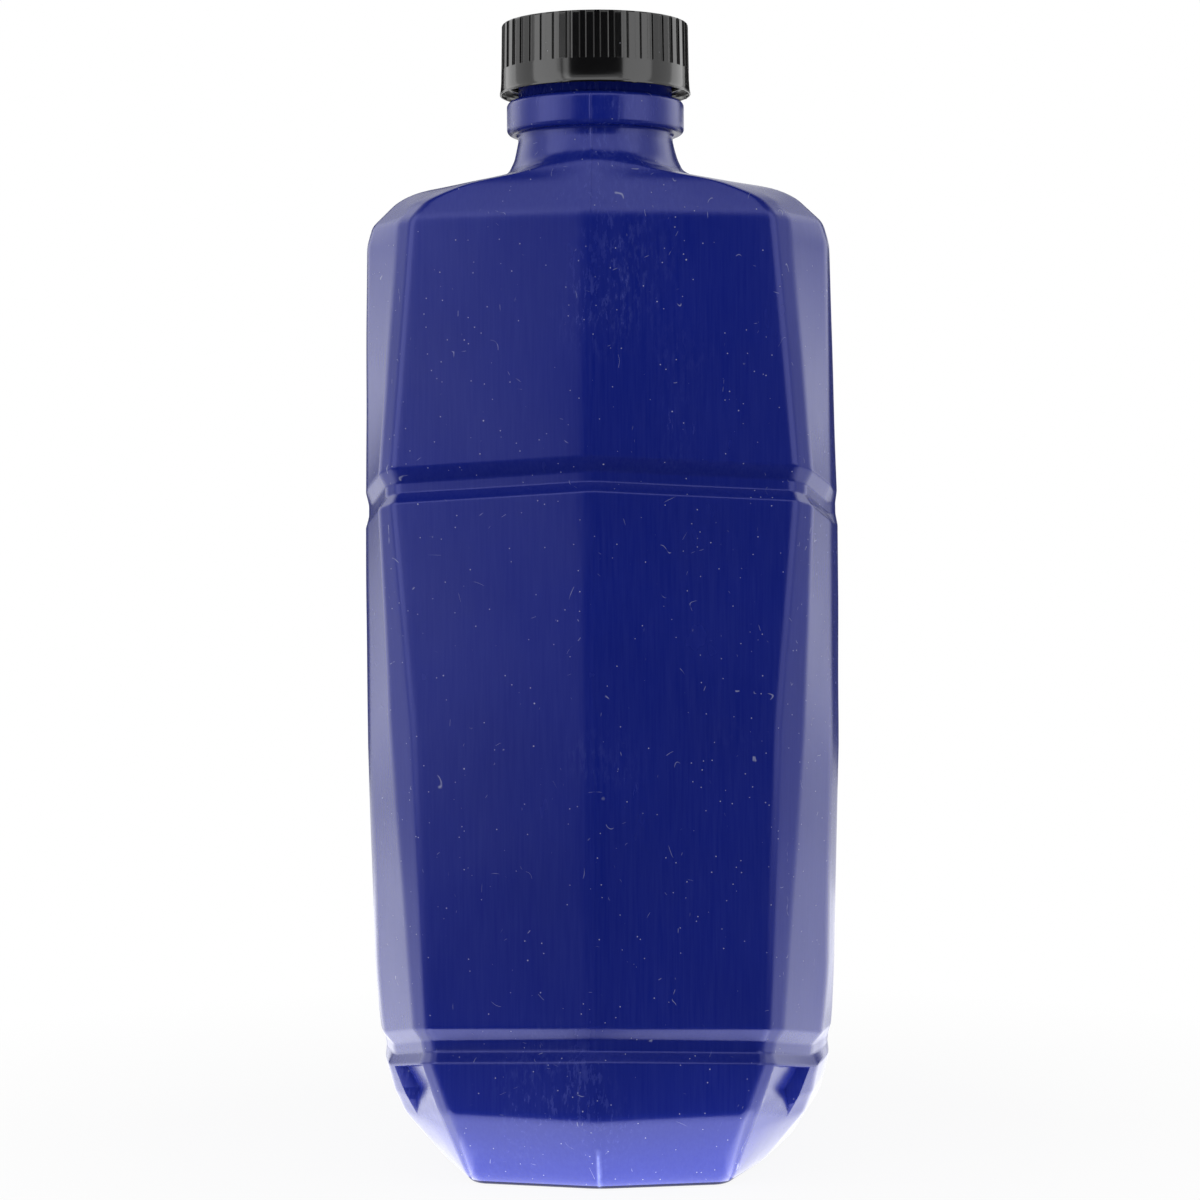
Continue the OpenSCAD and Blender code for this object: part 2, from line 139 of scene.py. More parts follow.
class Finishes(PropertyGroup):
    """Colours and wear of the plastics."""

    navy: colour("Jug plastic", "Colour of the blown plastic", (0.0028, 0.009, 0.15))
    stress: colour("Stressed plastic", "Colour of the pinched and scuffed plastic", (0.13, 0.16, 0.46))
    black: colour("Cap plastic", "Colour of the glossy cap", (0.0035, 0.0035, 0.0038))
    inner_black: colour("Inner cap plastic", "Colour of the inner cap", (0.012, 0.012, 0.013))
    foam: colour("Liner", "Colour of the sealing liner", (0.72, 0.71, 0.66))
    dust: colour("Dust", "Colour of the dust", (0.5, 0.52, 0.58))
    jug_gloss: share("Jug roughness", "Roughness of the blown plastic", 0.25)
    cap_gloss: share("Cap roughness", "Roughness of the glossy cap", 0.12)
    wear: share("Wear", "How worn and dusty the jug is", 0.5)


class StageSettings(PropertyGroup):
    """The camera's place and the lamps' levels."""

    distance: length("Camera distance", "From the camera to the neck's axis", 0.8, 0.3, 3.0)
    height: length("Camera height", "Height of the level camera", 0.1638, 0.0, 1.0)
    yaw: FloatProperty(name="Yaw", description="Turn of the camera round the jug", default=math.radians(3.0),
                       subtype="ANGLE")
    roll: FloatProperty(name="Roll", description="Tilt of the photograph", default=math.radians(-0.35),
                        subtype="ANGLE")
    lens: FloatProperty(name="Lens", description="Focal length in millimetres",
                        default=91.92, min=20.0, max=200.0)
    fronts: radiance("Front walls", "Radiance of the tent's front walls", 1.75)
    walls: radiance("Side walls", "Radiance of the tent's side walls", 0.2)
    rims: radiance("Back walls", "Radiance of the tent's back corners", 0.95)
    slit: radiance("Slit", "Radiance of the gap beside the dark front", 2.0)
    brow: radiance("Brow", "Radiance of the panel above the dark front", 1.15)
    roof: radiance("Roof", "Radiance of the tent's roof", 0.4)
    apron: radiance("Apron", "Radiance of the lit table round the foot", 2.6)
    tables: radiance("Side tables", "Radiance of the lit table beside the jug", 0.85)
    paper: colour("Floor", "Colour of the floor", (0.86, 0.86, 0.87))


def in_millimetres(group):
    """The group's lengths in millimetres, and its other values as they are."""
    sizes = SimpleNamespace()
    for key in type(group).__annotations__:
        value = getattr(group, key)
        if group.bl_rna.properties[key].type == "FLOAT" and group.bl_rna.properties[key].unit == "LENGTH":
            value *= 1000.0
        setattr(sizes, key, value)
    return sizes


# Sections of the blown body. Heights and depths are in millimetres, and depths count back from the crease.

CREASE_ROUND = 3.0
CREASE_TILT = math.tan(math.radians(11))
STRIP_SLOPE = 1.15
SLOPE_RUN = 34.0
GROOVE_SHARE = (1, 1, 1, 1, 0.3, 0, 0, 0)
SETBACK = (CREASE_ROUND, 1.5, 1.3, 2.2, 12, 16, 16, 0)
ARC_STEPS = (0, 5, 5, 5, 7, 8, 8, 0)


def soft(z, table, r=3.0):
    """Value of a table at z, with its bends rounded over a height of 2 r."""
    keys, values = zip(*table)
    at = np.interp([z - r, z - r / 2, z, z + r / 2, z + r], keys, values)
    return float(at @ (0.125, 0.25, 0.25, 0.25, 0.125))


def ease(low, high, x):
    t = np.clip((x - low) / (high - low), 0.0, 1.0)
    return t * t * (3 - 2 * t)


def section_tables(d):
    """The corners of half a level section, each as a table over height."""
    half, flare, back, column = d.body_w / 2, d.flare_d / 2, d.neck_back, d.column_d
    foot, low, high = d.foot_h, d.low_groove_z, d.high_groove_z
    top, edge, neck = d.panel_top_z, d.shoulder_z, d.neck_base_z
    mid, shelf = (low + high) / 2 + 9, d.low_body_h + d.shelf_rise
    slopes = (math.tan(math.radians(11)), math.tan(math.radians(14)))
    lip = d.groove_h / 2
    return {
        "crease_y": ([(0, d.foot_back), (foot, 0), (top, 0), (neck, back - flare - 1)], 1.5),
        "panel_x": ([(0, 31.5), (foot, 37.5), (low, 43.5), (mid, 46.75), (high, 52), (top, 46.25),
                     (edge - 4, 41.75), (edge, 31.25), (neck, 10)], 1.5),
        "strip_x": ([(0, 2.4), (low, 3.6), (mid, 6.5), (high, 4), (edge, 4), (neck, 6)], 3),
        "facet_x": ([(0, half - 22), (foot - 5, half - 10.2), (foot + 2, half - 7.8), (foot + 10, half - 7),
                     (low + 9, half - 4.6), (60, half - 3.6), (mid, half - 2.2), (high, half - 2),
                     (top - 5, half - 2.6), (top, half - 4.2), (edge - 3, half - 11), (edge - 1, half - 15),
                     (edge + 0.5, half - 21), (edge + 3, half - 38), (neck, flare - 0.5)], 1),
        "facet_y": ([(0, 45), (foot, 38), (low, 34), (mid, 32), (high, 30), (top, 28), (neck, back - 4)], 3),
        "side_x": ([(0, half - 12.5), (foot - 3, half - 4.6), (foot + 3, half - 3.8), (low + 9, half - 2.2),
                    (75, half - 1.2), (mid, half), (high, half), (top - 5, half - 1.8), (top, half - 3.2),
                    (edge - 3, half - 9.5), (edge - 0.5, half - 15), (edge + 1, half - 23),
                    (edge + 3, half - 37), (neck, flare)], 1),
        "side_y": ([(0, 88), (foot, 66), (low, 50), (60, 44), (high, 42), (top, 40), (neck, back + 4)], 3),
        "rear_side_x": ([(0, half - 11), (foot, half - 5), (low, half - 1.5), (60, half - 0.5), (mid, half),
                         (high, half), (top - 5, half - 3), (top, half - 6), (edge, half - 24),
                         (neck, flare - 2)], 2),
        "rear_side_y": ([(0, d.body_d - 30), (foot, d.body_d - 24), (d.low_body_h, d.body_d - 24),
                         (shelf, column - 16), (top, column - 28), (edge, column - 40), (neck, back + 12)], 3),
        "rear_x": ([(0, 38), (foot, 43), (d.low_body_h, 44), (shelf, 40), (top - 9, 38), (edge, 26),
                    (neck, 12)], 3),
        "rear_y": ([(0, d.body_d - 9), (foot, d.body_d - 1.5), (foot + 12, d.body_d), (d.low_body_h, d.body_d),
                    (shelf, column + 2), (top - 9, column - 7), (top, column - 12), (edge, column - 25),
                    (neck, back + flare - 1)], 3),
        "slope": ([(foot, 0), (low - lip, slopes[0]), (low + lip, slopes[0]), (high - lip, slopes[1]),
                   (high + lip, slopes[1]), (top - 4, 0)], 3),
    }


def corners_at(tables, z, zb):
    """Crease, panel corner, both ends of the corner facet, side wall's ends, back corner and back."""
    at = {name: soft(zb if name.startswith("rear_side_y") or name in ("rear_x", "rear_y") else z, *table)
          for name, table in tables.items()}
    px, py = at["panel_x"], at["crease_y"] + at["panel_x"] * CREASE_TILT
    sx = px + at["strip_x"]
    return np.array([
        (0, at["crease_y"] - CREASE_ROUND * CREASE_TILT / 2), (px, py), (sx, py + (sx - px) * STRIP_SLOPE),
        (at["facet_x"], at["facet_y"]), (at["side_x"], at["side_y"]), (at["rear_side_x"], at["rear_side_y"]),
        (at["rear_x"], at["rear_y"]), (0, at["rear_y"])])


def groove_at(d, z):
    """Depth of the grooves at height z, with a hint of softness at their bends."""
    total = 0.0
    for shift in (-0.35, -0.17, 0.0, 0.17, 0.35):
        u = min(abs(z + shift - g) for g in (d.low_groove_z, d.high_groove_z)) / (d.groove_h / 2)
        total += min(1.0, max(0.0, (1 - u) / 0.7))
    return d.groove_depth * total / 5


def unit(v):
    return v / np.hypot(*v)


def moved_in(d, v, z, inset):
    """The corners moved inwards, square to their edges, with the grooves' depth added."""
    out, groove = np.empty_like(v), groove_at(d, z)
    for i in range(8):
        a = v[1] * (-1, 1) if i == 0 else v[i - 1]
        b = v[6] * (-1, 1) if i == 7 else v[i + 1]
        e1, e2 = unit(v[i] - a), unit(b - v[i])
        n1, n2 = np.array((e1[1], -e1[0])), np.array((e2[1], -e2[0]))
        out[i] = v[i] - (inset + groove * GROOVE_SHARE[i]) * (n1 + n2) / (1 + n1 @ n2)
    return out


def bow(a, p, b, u):
    """A point of the parabola from a to b that p pulls on."""
    return (1 - u) ** 2 * a + 2 * u * (1 - u) * p + u * u * b


PANEL_CUTS = (0.03, 0.09, 0.18, 0.28, 0.38, 0.48, 0.58, 0.68, 0.78, 0.87, 0.94, 0.98)
SPAN_CUTS = {1: (0.2, 0.8), 3: (0.15, 0.5, 0.85),
             4: (0.03, 0.08, 0.15, 0.23, 0.31, 0.39, 0.47, 0.55, 0.63, 0.71, 0.79, 0.86, 0.92, 0.97),
             5: (0.1, 0.3, 0.5, 0.7, 0.9), 6: (0.3, 0.55, 0.75, 0.87, 0.94, 0.975, 0.99)}
SPAN_CUTS_COARSE = {1: (), 3: (0.5,), 4: (0.2, 0.4, 0.6, 0.8), 5: (0.5,), 6: (0.5,)}


def facet_cuts(d, z, y0, y1):
    """Where the columns of the corner facet stand, gathered at the pocket's back wall."""
    near = float(ease(8, 14, z) * (1 - ease(36, 44, z)))
    wall_y = (1 - near) * (y0 + 0.86 * (y1 - y0)) + near * (d.pocket_front + d.pocket_len)
    before, after = wall_y - y0, y1 - wall_y
    gaps = [min(g, f * before) for g, f in ((0.12, 0.01), (0.4, 0.03), (0.9, 0.06), (1.6, 0.1))]
    tail = [min(g, f * after) for g, f in ((0.12, 0.06), (0.4, 0.18), (0.9, 0.36))]
    even = [y0 + (before - gaps[-1]) * k / 19 for k in range(1, 19)]
    ys = even + [wall_y - g for g in reversed(gaps)] + [wall_y + g for g in tail] + [y1 - 0.3 * (after - tail[-1])]
    return [(y - y0) / (y1 - y0) for y in ys]


# The pocket's crease starts at this share of its height. The crease and the tip fall this far along it, mm
CREASE_SHARE, CREASE_FALL, TIP_FALL = 0.36, 4.2, 3.3
# How deep the pocket's rim is at its shallow end, mm
POCKET_RIM = 0.6


def pocket_at(d, y, z):
    """How deep the corner facet is sunk at depth y on the level ring z."""
    u = (y - d.pocket_front) / d.pocket_len
    if u < -0.05 or u > 1.02:
        return 0.0
    k = min(max(u, 0.0), 1.0)
    ceiling, crease = d.pocket_top_z, d.pocket_top_z - CREASE_SHARE * d.pocket_h - CREASE_FALL * k
    tip = d.pocket_top_z - d.pocket_h - TIP_FALL * k
    at_crease = POCKET_RIM + (d.pocket_depth - POCKET_RIM) * k
    at_ceiling = POCKET_RIM + (d.pocket_depth - 1.0 - POCKET_RIM) * k
    if z >= crease:
        depth = at_crease + (at_ceiling - at_crease) * (z - crease) / (ceiling - crease)
    else:
        depth = at_crease * max(0.0, (z - tip) / (crease - tip))
    front = ease(-0.05, 0.0, u)
    back = 1 - ease(d.pocket_front + d.pocket_len - 0.13, d.pocket_front + d.pocket_len + 0.13, y)
    return float(depth * front * back * (1 - ease(ceiling - 0.1, ceiling + 0.1, z)))


def half_section(d, tables, z, zb, zs, inset, fine):
    """Half a level ring of points, from the crease round to the back."""
    v = moved_in(d, corners_at(tables, zs, zb), z, inset)
    end = v[0] + CREASE_ROUND * unit(v[1] - v[0])
    start = end * (-1, 1)
    stops = (0, 0.05, 0.12, 0.22, 0.45, 0.7, 1) if fine else (0, 0.5, 1)
    points = [bow(start, v[0], end, 0.5 + f / 2) for f in stops]
    for i in range(1, 8):
        reach = min(SETBACK[i], 0.45 * np.hypot(*(v[i] - v[i - 1])), 0.45 * np.hypot(*(v[(i + 1) % 8] - v[i])))
        s = v[i] if i == 7 else v[i] + reach * unit(v[i - 1] - v[i])
        last = points[-1]
        if i == 1:
            cuts = PANEL_CUTS if fine else (0.33, 0.67)
        elif i == 3:
            cuts = facet_cuts(d, z, last[1], s[1]) if fine else (0.33, 0.67)
        else:
            cuts = (SPAN_CUTS if fine else SPAN_CUTS_COARSE)[i - 1]
        points += [last + (s - last) * t for t in cuts] + [s]
        if i < 7:
            e = v[i] + reach * unit(v[i + 1] - v[i])
            steps = ARC_STEPS[i] if fine else 3
            points += [bow(s, v[i], e, k / steps) for k in range(1, steps + 1)]
    return np.array(points)


def whole_ring(half):
    """A closed ring from its right half, counter-clockwise seen from above."""
    return np.concatenate([half, half[-2:0:-1] * (-1, 1)])


def level_ring(d, tables, z, half):
    ring = whole_ring(half)
    fall = soft(z, *tables["slope"])
    return np.column_stack([ring[:, 0], ring[:, 1] - d.body_d / 2, z - fall * np.clip(ring[:, 1], 0, SLOPE_RUN)])


def spaced(low, high, step):
    count = max(1, round((high - low) / step))
    return [low + (high - low) * k / count for k in range(count)]


def body_levels(d):
    """Heights of the rings, gathered at the foot, the grooves, the pockets and the shoulder."""
    lip = d.groove_h / 2
    bends = [g + side * u * lip + shift for g in (d.low_groove_z, d.high_groove_z) for side in (-1, 1)
             for u in (1.0, 0.3) for shift in (-0.55, -0.25, 0.0, 0.25, 0.55)]
    middles = [g + s for g in (d.low_groove_z, d.high_groove_z) for s in (-2.9, 0.0, 2.9)]
    ceiling = [d.pocket_top_z + s for s in (-1.0, -0.45, -0.12, 0.12, 0.3)]
    low_top = d.low_groove_z + lip + 0.8
    high_low, high_top = d.high_groove_z - lip - 0.8, d.high_groove_z + lip + 0.8
    levels = [0, 0.15, 0.4, 0.75, 1.3, 2, 3, 4.2] + spaced(5.5, 12, 1.3)
    levels += spaced(12, d.pocket_top_z - 1.2, 0.7)
    levels += ceiling + bends + middles + spaced(low_top, low_top + 9, 1.8)
    levels += spaced(low_top + 9, d.low_body_h - 4, 4.5)
    levels += spaced(d.low_body_h - 4, d.low_body_h + d.shelf_rise + 6, 1.5)
    levels += spaced(d.low_body_h + d.shelf_rise + 6, high_low - 2, 3.5) + [high_low - 1.2, high_low]
    levels += [high_top, high_top + 1.2] + spaced(high_top + 3, d.panel_top_z - 9, 4)
    levels += spaced(d.panel_top_z - 9, d.panel_top_z - 3, 1.2)
    levels += spaced(d.panel_top_z - 3, d.shoulder_z - 1, 0.7) + spaced(d.shoulder_z - 1, d.neck_base_z, 0.45)
    levels += [d.neck_base_z]
    return sorted(set(round(z, 3) for z in levels))


def neck_profile(d):
    """Height and radius up the neck, over the bumper ring to the sealing face."""
    throat, ring, edge = d.throat_d / 2, d.ring_d / 2, 1.5
    under, over = d.ring_z, d.ring_z + d.ring_h
    rise = [(d.neck_base_z + 7 * k / 12, d.flare_d / 2 + (throat - d.flare_d / 2) * (k / 12) * (1.3 - 0.3 * k / 12))
            for k in range(1, 13)]
    rise += [(under - 1.0, throat), (under - 0.35, throat + 0.05), (under - 0.08, throat + 0.3),
             (under, throat + 0.7), (under, ring - edge - 0.2)]
    rise += [(under + edge * (1 - math.cos(a)), ring - edge * (1 - math.sin(a)))
             for a in (math.radians(15 * k) for k in range(0, 7))]
    rise += [(under + d.ring_h * 0.3, ring), (under + d.ring_h * 0.5, ring), (under + d.ring_h * 0.7, ring)]
    rise += [(over - edge * (1 - math.sin(a)), ring - edge * (1 - math.cos(a)))
             for a in (math.radians(15 * k) for k in range(0, 7))]
    root = d.thread_root_d / 2
    rise += [(over, root + 1.2), (over, root + 0.6), (over + 0.15, root + 0.2), (over + 0.6, root),
             (over + 4, root), (over + 8, root), (d.land_z - 1.6, root), (d.land_z - 0.9, root - 0.05),
             (d.land_z - 0.45, root - 0.25), (d.land_z - 0.15, root - 0.55), (d.land_z, root - 0.9),
             (d.land_z, root - 1.2), (d.land_z, 9.0)]
    return rise


def parting_ridge(d, ring):
    """Raises the moulding line on a ring's crease and back, and the pinched flash under the crease."""
    x, y, z = ring.T
    front = y < -d.body_d / 2 + 40
    line = d.parting_h * np.where(z > 250, 1.0, 0.3) * np.exp(-(x / 0.24) ** 2)
    ragged = 0.42 + 0.2 * np.sin(2.3 * z + 1) + 0.12 * np.sin(5.9 * z)
    flash = ragged * np.exp(-((x - 0.25) / 0.38) ** 2) * ease(0.2, 1.2, z) * (1 - ease(10.0, 12.6, z))
    ring[:, 1] += np.where(front, -(line + flash), line)
    return ring


def mesh_object(name, points, faces):
    """An object from points in millimetres."""
    mesh = bpy.data.meshes.new(name)
    mesh.from_pydata([tuple(p) for p in np.asarray(points) / 1000.0], [], faces)
    mesh.validate()
    piece = bpy.data.objects.new(name, mesh)
    bpy.context.scene.collection.objects.link(piece)
    return piece


def lofted(name, rings, ends=True):
    """A closed skin over rings of equal length, with a point in the middle of both end rings."""
    count, last = len(rings[0]), len(rings) - 1
    points = np.concatenate(list(rings) + ([rings[0].mean(0)[None], rings[-1].mean(0)[None]] if ends else []))
    faces = []
    for j in range(last):
        for i in range(count):
            a, b = j * count + i, j * count + (i + 1) % count
            faces.append((a, b, b + count, a + count))
    if ends:
        bottom, top = (last + 1) * count, (last + 1) * count + 1
        for i in range(count):
            k = (i + 1) % count
            faces.append((k, i, bottom))
            faces.append((last * count + i, last * count + k, top))
    return mesh_object(name, points, faces)


def outer_skin(d, tables):
    """The outside of the body and neck as one grid."""
    levels, rings = body_levels(d), []
    for z in levels:
        inset = float(np.interp(z, (0, 0.15, 0.4, 0.75, 1.3, 2, 3.5), (1.8, 1.35, 1.0, 0.7, 0.4, 0.16, 0)))
        half = half_section(d, tables, z, z, z, inset, True)
        if 12 < z < d.pocket_top_z + 0.5:
            first, count = 7 + len(PANEL_CUTS), 46
            for p in half[first:first + count]:
                p[0] -= pocket_at(d, p[1], z)
        rings.append(parting_ridge(d, level_ring(d, tables, z, half)))
    middle = np.array((0.0, d.neck_back - d.body_d / 2))
    top = rings[-1]
    angle = np.arctan2(top[:, 0], -(top[:, 1] - middle[1]))
    around = np.column_stack([np.sin(angle), -np.cos(angle)])
    for z, r in neck_profile(d):
        blend = float(ease(d.neck_base_z - 0.5, d.neck_base_z + 2.2, z))
        ring = np.column_stack([middle + around * r, np.full(len(top), z)])
        ring[:, :2] = (1 - blend) * top[:, :2] + blend * ring[:, :2]
        if z < d.land_z - 2:
            ring[:, :2] += around * (d.parting_h * np.exp(-(ring[:, 0] / 0.24) ** 2))[:, None]
        rings.append(ring)
    rings = np.array(rings)
    heights = rings[:, :, 2].mean(1)
    near_foot = (ease(257, 262, heights) * (1 - ease(264.5, 269.5, heights)))[:, None]
    rings[:, :, 2] -= 0.9 * near_foot * ease(0, 13, np.abs(rings[:, :, 0])) * (rings[:, :, 1] < middle[1])
    soften = (ease(258.5, 261, heights) * (1 - ease(266, 268.5, heights)))[1:-1, None, None]
    for _ in range(2):
        rings[1:-1] += soften * 0.5 * ((rings[2:] + rings[:-2]) / 2 - rings[1:-1])
    base = rings[0].copy()
    centre = np.array((0.0, base[:, 1].mean(), 0.0))
    floor = []
    for k, lift in ((0.955, 0.0), (0.9, 0.0), (0.885, 0.12), (0.87, 0.6), (0.855, 1.0), (0.835, 1.15), (0.6, 1.3),
                    (0.3, 1.4), (0.08, 1.4)):
        ring = centre + (base - centre) * k
        ring[:, 2] = lift - 0.55 * min(1.0, lift) * np.exp(-(ring[:, 0] / 0.7) ** 2)
        floor.append(ring)
    return lofted("jug_outside", list(reversed(floor)) + list(rings))


def inner_skin(d, tables):
    """The inside of the body and the bore, a coarser grid."""
    levels = [2.6, 4, 8, 16, 22, 30, 34, 38, 42, 46, 54, 66, 90, 110, 124, 128, 131, 135, 140, 144, 148, 153, 160,
              170, 177, 180, 183, 186, 189, 196, 215, 232, 240, 244, 247, 250, 253, 256, 258.5, 260.5, 261.7]
    rings = []
    for z in levels:
        front = float(np.interp(z, (d.foot_h, d.foot_h + 8, 215, 232), (-1, 0, 0, 1)))
        back = float(np.interp(z, (d.foot_h, d.foot_h + 8, 105, 120), (-1, 0, 0, 1)))
        half = half_section(d, tables, z, max(0, z + back * d.wall), max(0, z + front * d.wall), d.wall, False)
        pocket = float(ease(6, 14, z) * (1 - ease(34, 40, z)))
        half[:, 0] -= pocket * 5.6 * ease(8, 12, half[:, 1]) * (1 - ease(31.5, 40, half[:, 1])) * (half[:, 0] > 30)
        rings.append(level_ring(d, tables, z, half))
    middle = np.array((0.0, d.neck_back - d.body_d / 2))
    top = rings[-1]
    angle = np.arctan2(top[:, 0], -(top[:, 1] - middle[1]))
    around = np.column_stack([np.sin(angle), -np.cos(angle)])
    for z in (262.6, 275, 285, d.land_z - 0.6):
        rings.append(np.column_stack([middle + around * d.bore_d / 2, np.full(len(top), z)]))
    rings.append(np.column_stack([middle + around * (d.bore_d / 2 + 0.25), np.full(len(top), d.land_z - 0.12)]))
    rings.append(np.column_stack([middle + around * (d.bore_d / 2 + 0.6), np.full(len(top), d.land_z + 0.3)]))
    rings.append(np.column_stack([middle + around * (d.bore_d / 2 + 0.6), np.full(len(top), d.land_z + 3)]))
    return lofted("jug_inside", rings)


def handle_route(d):
    """The handle's middle line: depth, height and the turn of its section."""
    y_back, r = d.body_d - d.handle_t / 2 - 1, d.handle_bend_r
    route = [(d.column_d + y, d.handle_z, 0.0) for y in np.linspace(-28, 4, 13)]
    run = y_back - r - (d.column_d + 4)
    route += [(d.column_d + 4 + run * t, d.handle_z, 0.0) for t in (0.5,)]
    route += [(y_back - r + r * math.sin(a), d.handle_z - r + r * math.cos(a), a)
              for a in np.radians(np.linspace(0, 90, 19))]
    drop = d.handle_z - r
    route += [(y_back, z, math.pi / 2) for z in np.linspace(drop - 3, d.low_body_h - 20, 34)]
    return route


def handle_skin(d, inset, name):
    """The handle as a closed tube that starts and ends inside the body."""
    small = [f ** (4 / 3) for f in (0.0, 0.012, 0.028, 0.06, 0.13)]
    quarter = small + [math.cos(math.radians(a)) for a in (78, 70, 62, 54, 46, 38, 30, 22, 14, 6.5, 0)]
    rings = []
    for y, z, turn in handle_route(d):
        swell = 1 + 0.5 * max(0.0, 1 - (y - d.column_d + 16) / 22) + 0.5 * max(0.0, 1 - (z - d.low_body_h - 2) / 24)
        a, b = d.handle_w / 2 * min(1.5, swell) - inset, d.handle_t / 2 - inset
        arch = []
        for c in quarter:
            r = b * math.sqrt(max(0.0, 1 - c * c)) ** 0.75
            x = a * c ** 0.75
            arch.append((x, r + (d.parting_h * math.exp(-(x / 0.24) ** 2) if inset == 0 else 0)))
        half = arch + [(x, -r) for x, r in arch[-2::-1]]
        loop = half + [(-x, r) for x, r in half[-2:0:-1]]
        rings.append(np.array([(x, y - d.body_d / 2 + r * math.sin(turn), z + r * math.cos(turn)) for x, r in loop]))
    return lofted(name, rings)


def helix_ridge(name, middle, root, crest, start_z, first, last, pitch, foot, head):
    """A thread ridge with tapered ends, from the angle first to the angle last, in degrees."""
    rings, sunk = [], root - crest
    for angle in np.arange(first, last + 1, 6.0):
        taper = float(min(ease(first - 1, first + 40, angle), 1 - ease(last - 40, last + 1, angle)))
        taper = max(taper, 0.02)
        z, a = start_z + pitch * angle / 360.0, math.radians(angle)
        out = np.array((math.sin(a), -math.cos(a)))
        edge = root - sunk * taper
        profile = [(root + sunk * 0.4, -foot / 2), (root, -foot / 2),
                   (root - sunk * 0.75 * taper, -head / 2 - 0.2 * taper),
                   (edge, -head / 2 + 0.05), (edge, head / 2 - 0.05),
                   (root - sunk * 0.75 * taper, head / 2 + 0.2 * taper),
                   (root, foot / 2), (root + sunk * 0.4, foot / 2)]
        rings.append(np.array([(*(middle + out * r), z + h) for r, h in profile]))
    piece = lofted(name, rings)
    recalculated(piece)
    return piece


def recalculated(piece):
    """Merges doubled points and turns every face outwards."""
    work = bmesh.new()
    work.from_mesh(piece.data)
    bmesh.ops.remove_doubles(work, verts=work.verts, dist=1e-6)
    bmesh.ops.recalc_face_normals(work, faces=work.faces)
    work.to_mesh(piece.data)
    work.free()


def combined(piece, other, operation):
    """Joins or cuts two closed solids, and drops the second."""
    cut = piece.modifiers.new("cut", "BOOLEAN")
    cut.operation, cut.object, cut.solver = operation, other, "MANIFOLD"
    baked(piece)
    bpy.data.objects.remove(other)


def baked(piece):
    """Turns a piece with its modifiers into a plain mesh."""
    graph = bpy.context.evaluated_depsgraph_get()
    mesh = bpy.data.meshes.new_from_object(piece.evaluated_get(graph))
    mesh.name = piece.name
    piece.modifiers.clear()
    piece.data = mesh


def coordinates(mesh):
    flat = np.empty(len(mesh.vertices) * 3)
    mesh.vertices.foreach_get("co", flat)
    return flat.reshape(-1, 3)


def neighbour_mean(mesh, points):
    edges = np.empty(len(mesh.edges) * 2, int)
    mesh.edges.foreach_get("vertices", edges)
    a, b = edges[::2], edges[1::2]
    total, count = np.zeros_like(points), np.zeros(len(points))
    np.add.at(total, a, points[b])
    np.add.at(total, b, points[a])
    np.add.at(count, a, 1)
    np.add.at(count, b, 1)
    return total / np.maximum(count, 1)[:, None]


def blend_seams(piece, before, reach):
    """Rounds the seam that a union left: points near those that the union added are relaxed."""
    points = coordinates(piece.data)
    tree = KDTree(len(before))
    for i, p in enumerate(before):
        tree.insert(p, i)
    tree.balance()
    new = [p for p in points if tree.find(p)[2] > 2e-6]
    seam = KDTree(len(new))
    for i, p in enumerate(new):
        seam.insert(p, i)
    seam.balance()
    away = np.array([seam.find(p)[2] for p in points])
    weight = (1 - ease(reach * 0.35, reach, away))[:, None]
    for _ in range(30):
        points += 0.6 * weight * (neighbour_mean(piece.data, points) - points)
    piece.data.vertices.foreach_set("co", points.ravel())
    piece.data.update()


def waver(piece):
    """Gives the blown wall its faint unevenness."""
    mesh, points = piece.data, coordinates(piece.data)
    normals = np.empty(len(points) * 3)
    mesh.vertices.foreach_get("normal", normals)
    x, y, z = (points * 1000).T
    swell = (np.sin(x / 9.0 + z / 23.0) + np.sin(y / 11.0 - z / 17.0 + 1.3) + np.sin((x + y) / 7.3 + z / 9.1 + 0.4)
             + 0.6 * np.sin(z / 5.1 + x / 15.0))
    amount = 0.035e-3 * swell * (1 - ease(252, 262, z)) * ease(3, 9, z)
    points += normals.reshape(-1, 3) * amount[:, None]
    mesh.vertices.foreach_set("co", points.ravel())
    mesh.update()


def kept_in_box(piece, limits):
    """Draws in the outermost centimetre where the moulding line or the waver passes the body's nominal box."""
    points = coordinates(piece.data)
    for axis, limit in enumerate(limits):
        reach = np.abs(points[:, axis])
        start, over = limit - 0.01, reach.max()
        if over > limit:
            reach = np.where(reach > start, start + (reach - start) * (limit - start) / (over - start), reach)
            points[:, axis] = np.sign(points[:, axis]) * reach
    piece.data.vertices.foreach_set("co", points.ravel())
    piece.data.update()


def mark_wear(piece, scar=None):
    """Stores how exposed each point's edge is, and where the plastic was pinched."""
    mesh, points = piece.data, coordinates(piece.data)
    normals = np.empty(len(points) * 3)
    mesh.vertices.foreach_get("normal", normals)
    offset = neighbour_mean(mesh, points) - points
    bend = -(offset * normals.reshape(-1, 3)).sum(1) / np.maximum(np.linalg.norm(offset, axis=1), 2e-4)
    edge = mesh.attributes.new("edge", "FLOAT", "POINT")
    edge.data.foreach_set("value", np.clip(bend, 0, 1).astype(np.float32))
    if scar is not None:
        mark = mesh.attributes.new("scar", "FLOAT", "POINT")
        mark.data.foreach_set("value", scar(points * 1000).astype(np.float32))


def smooth(piece, angle):
    piece.data.shade_smooth()
    piece.data.set_sharp_from_angle(angle=math.radians(angle))


def finished(piece, body, slot, material, *nodes):
    """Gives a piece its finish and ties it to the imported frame."""
    piece.data.materials.clear()
    piece.data.materials.append(material)
    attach(piece, body)
    if nodes:
        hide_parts(*nodes)


# Finishes.


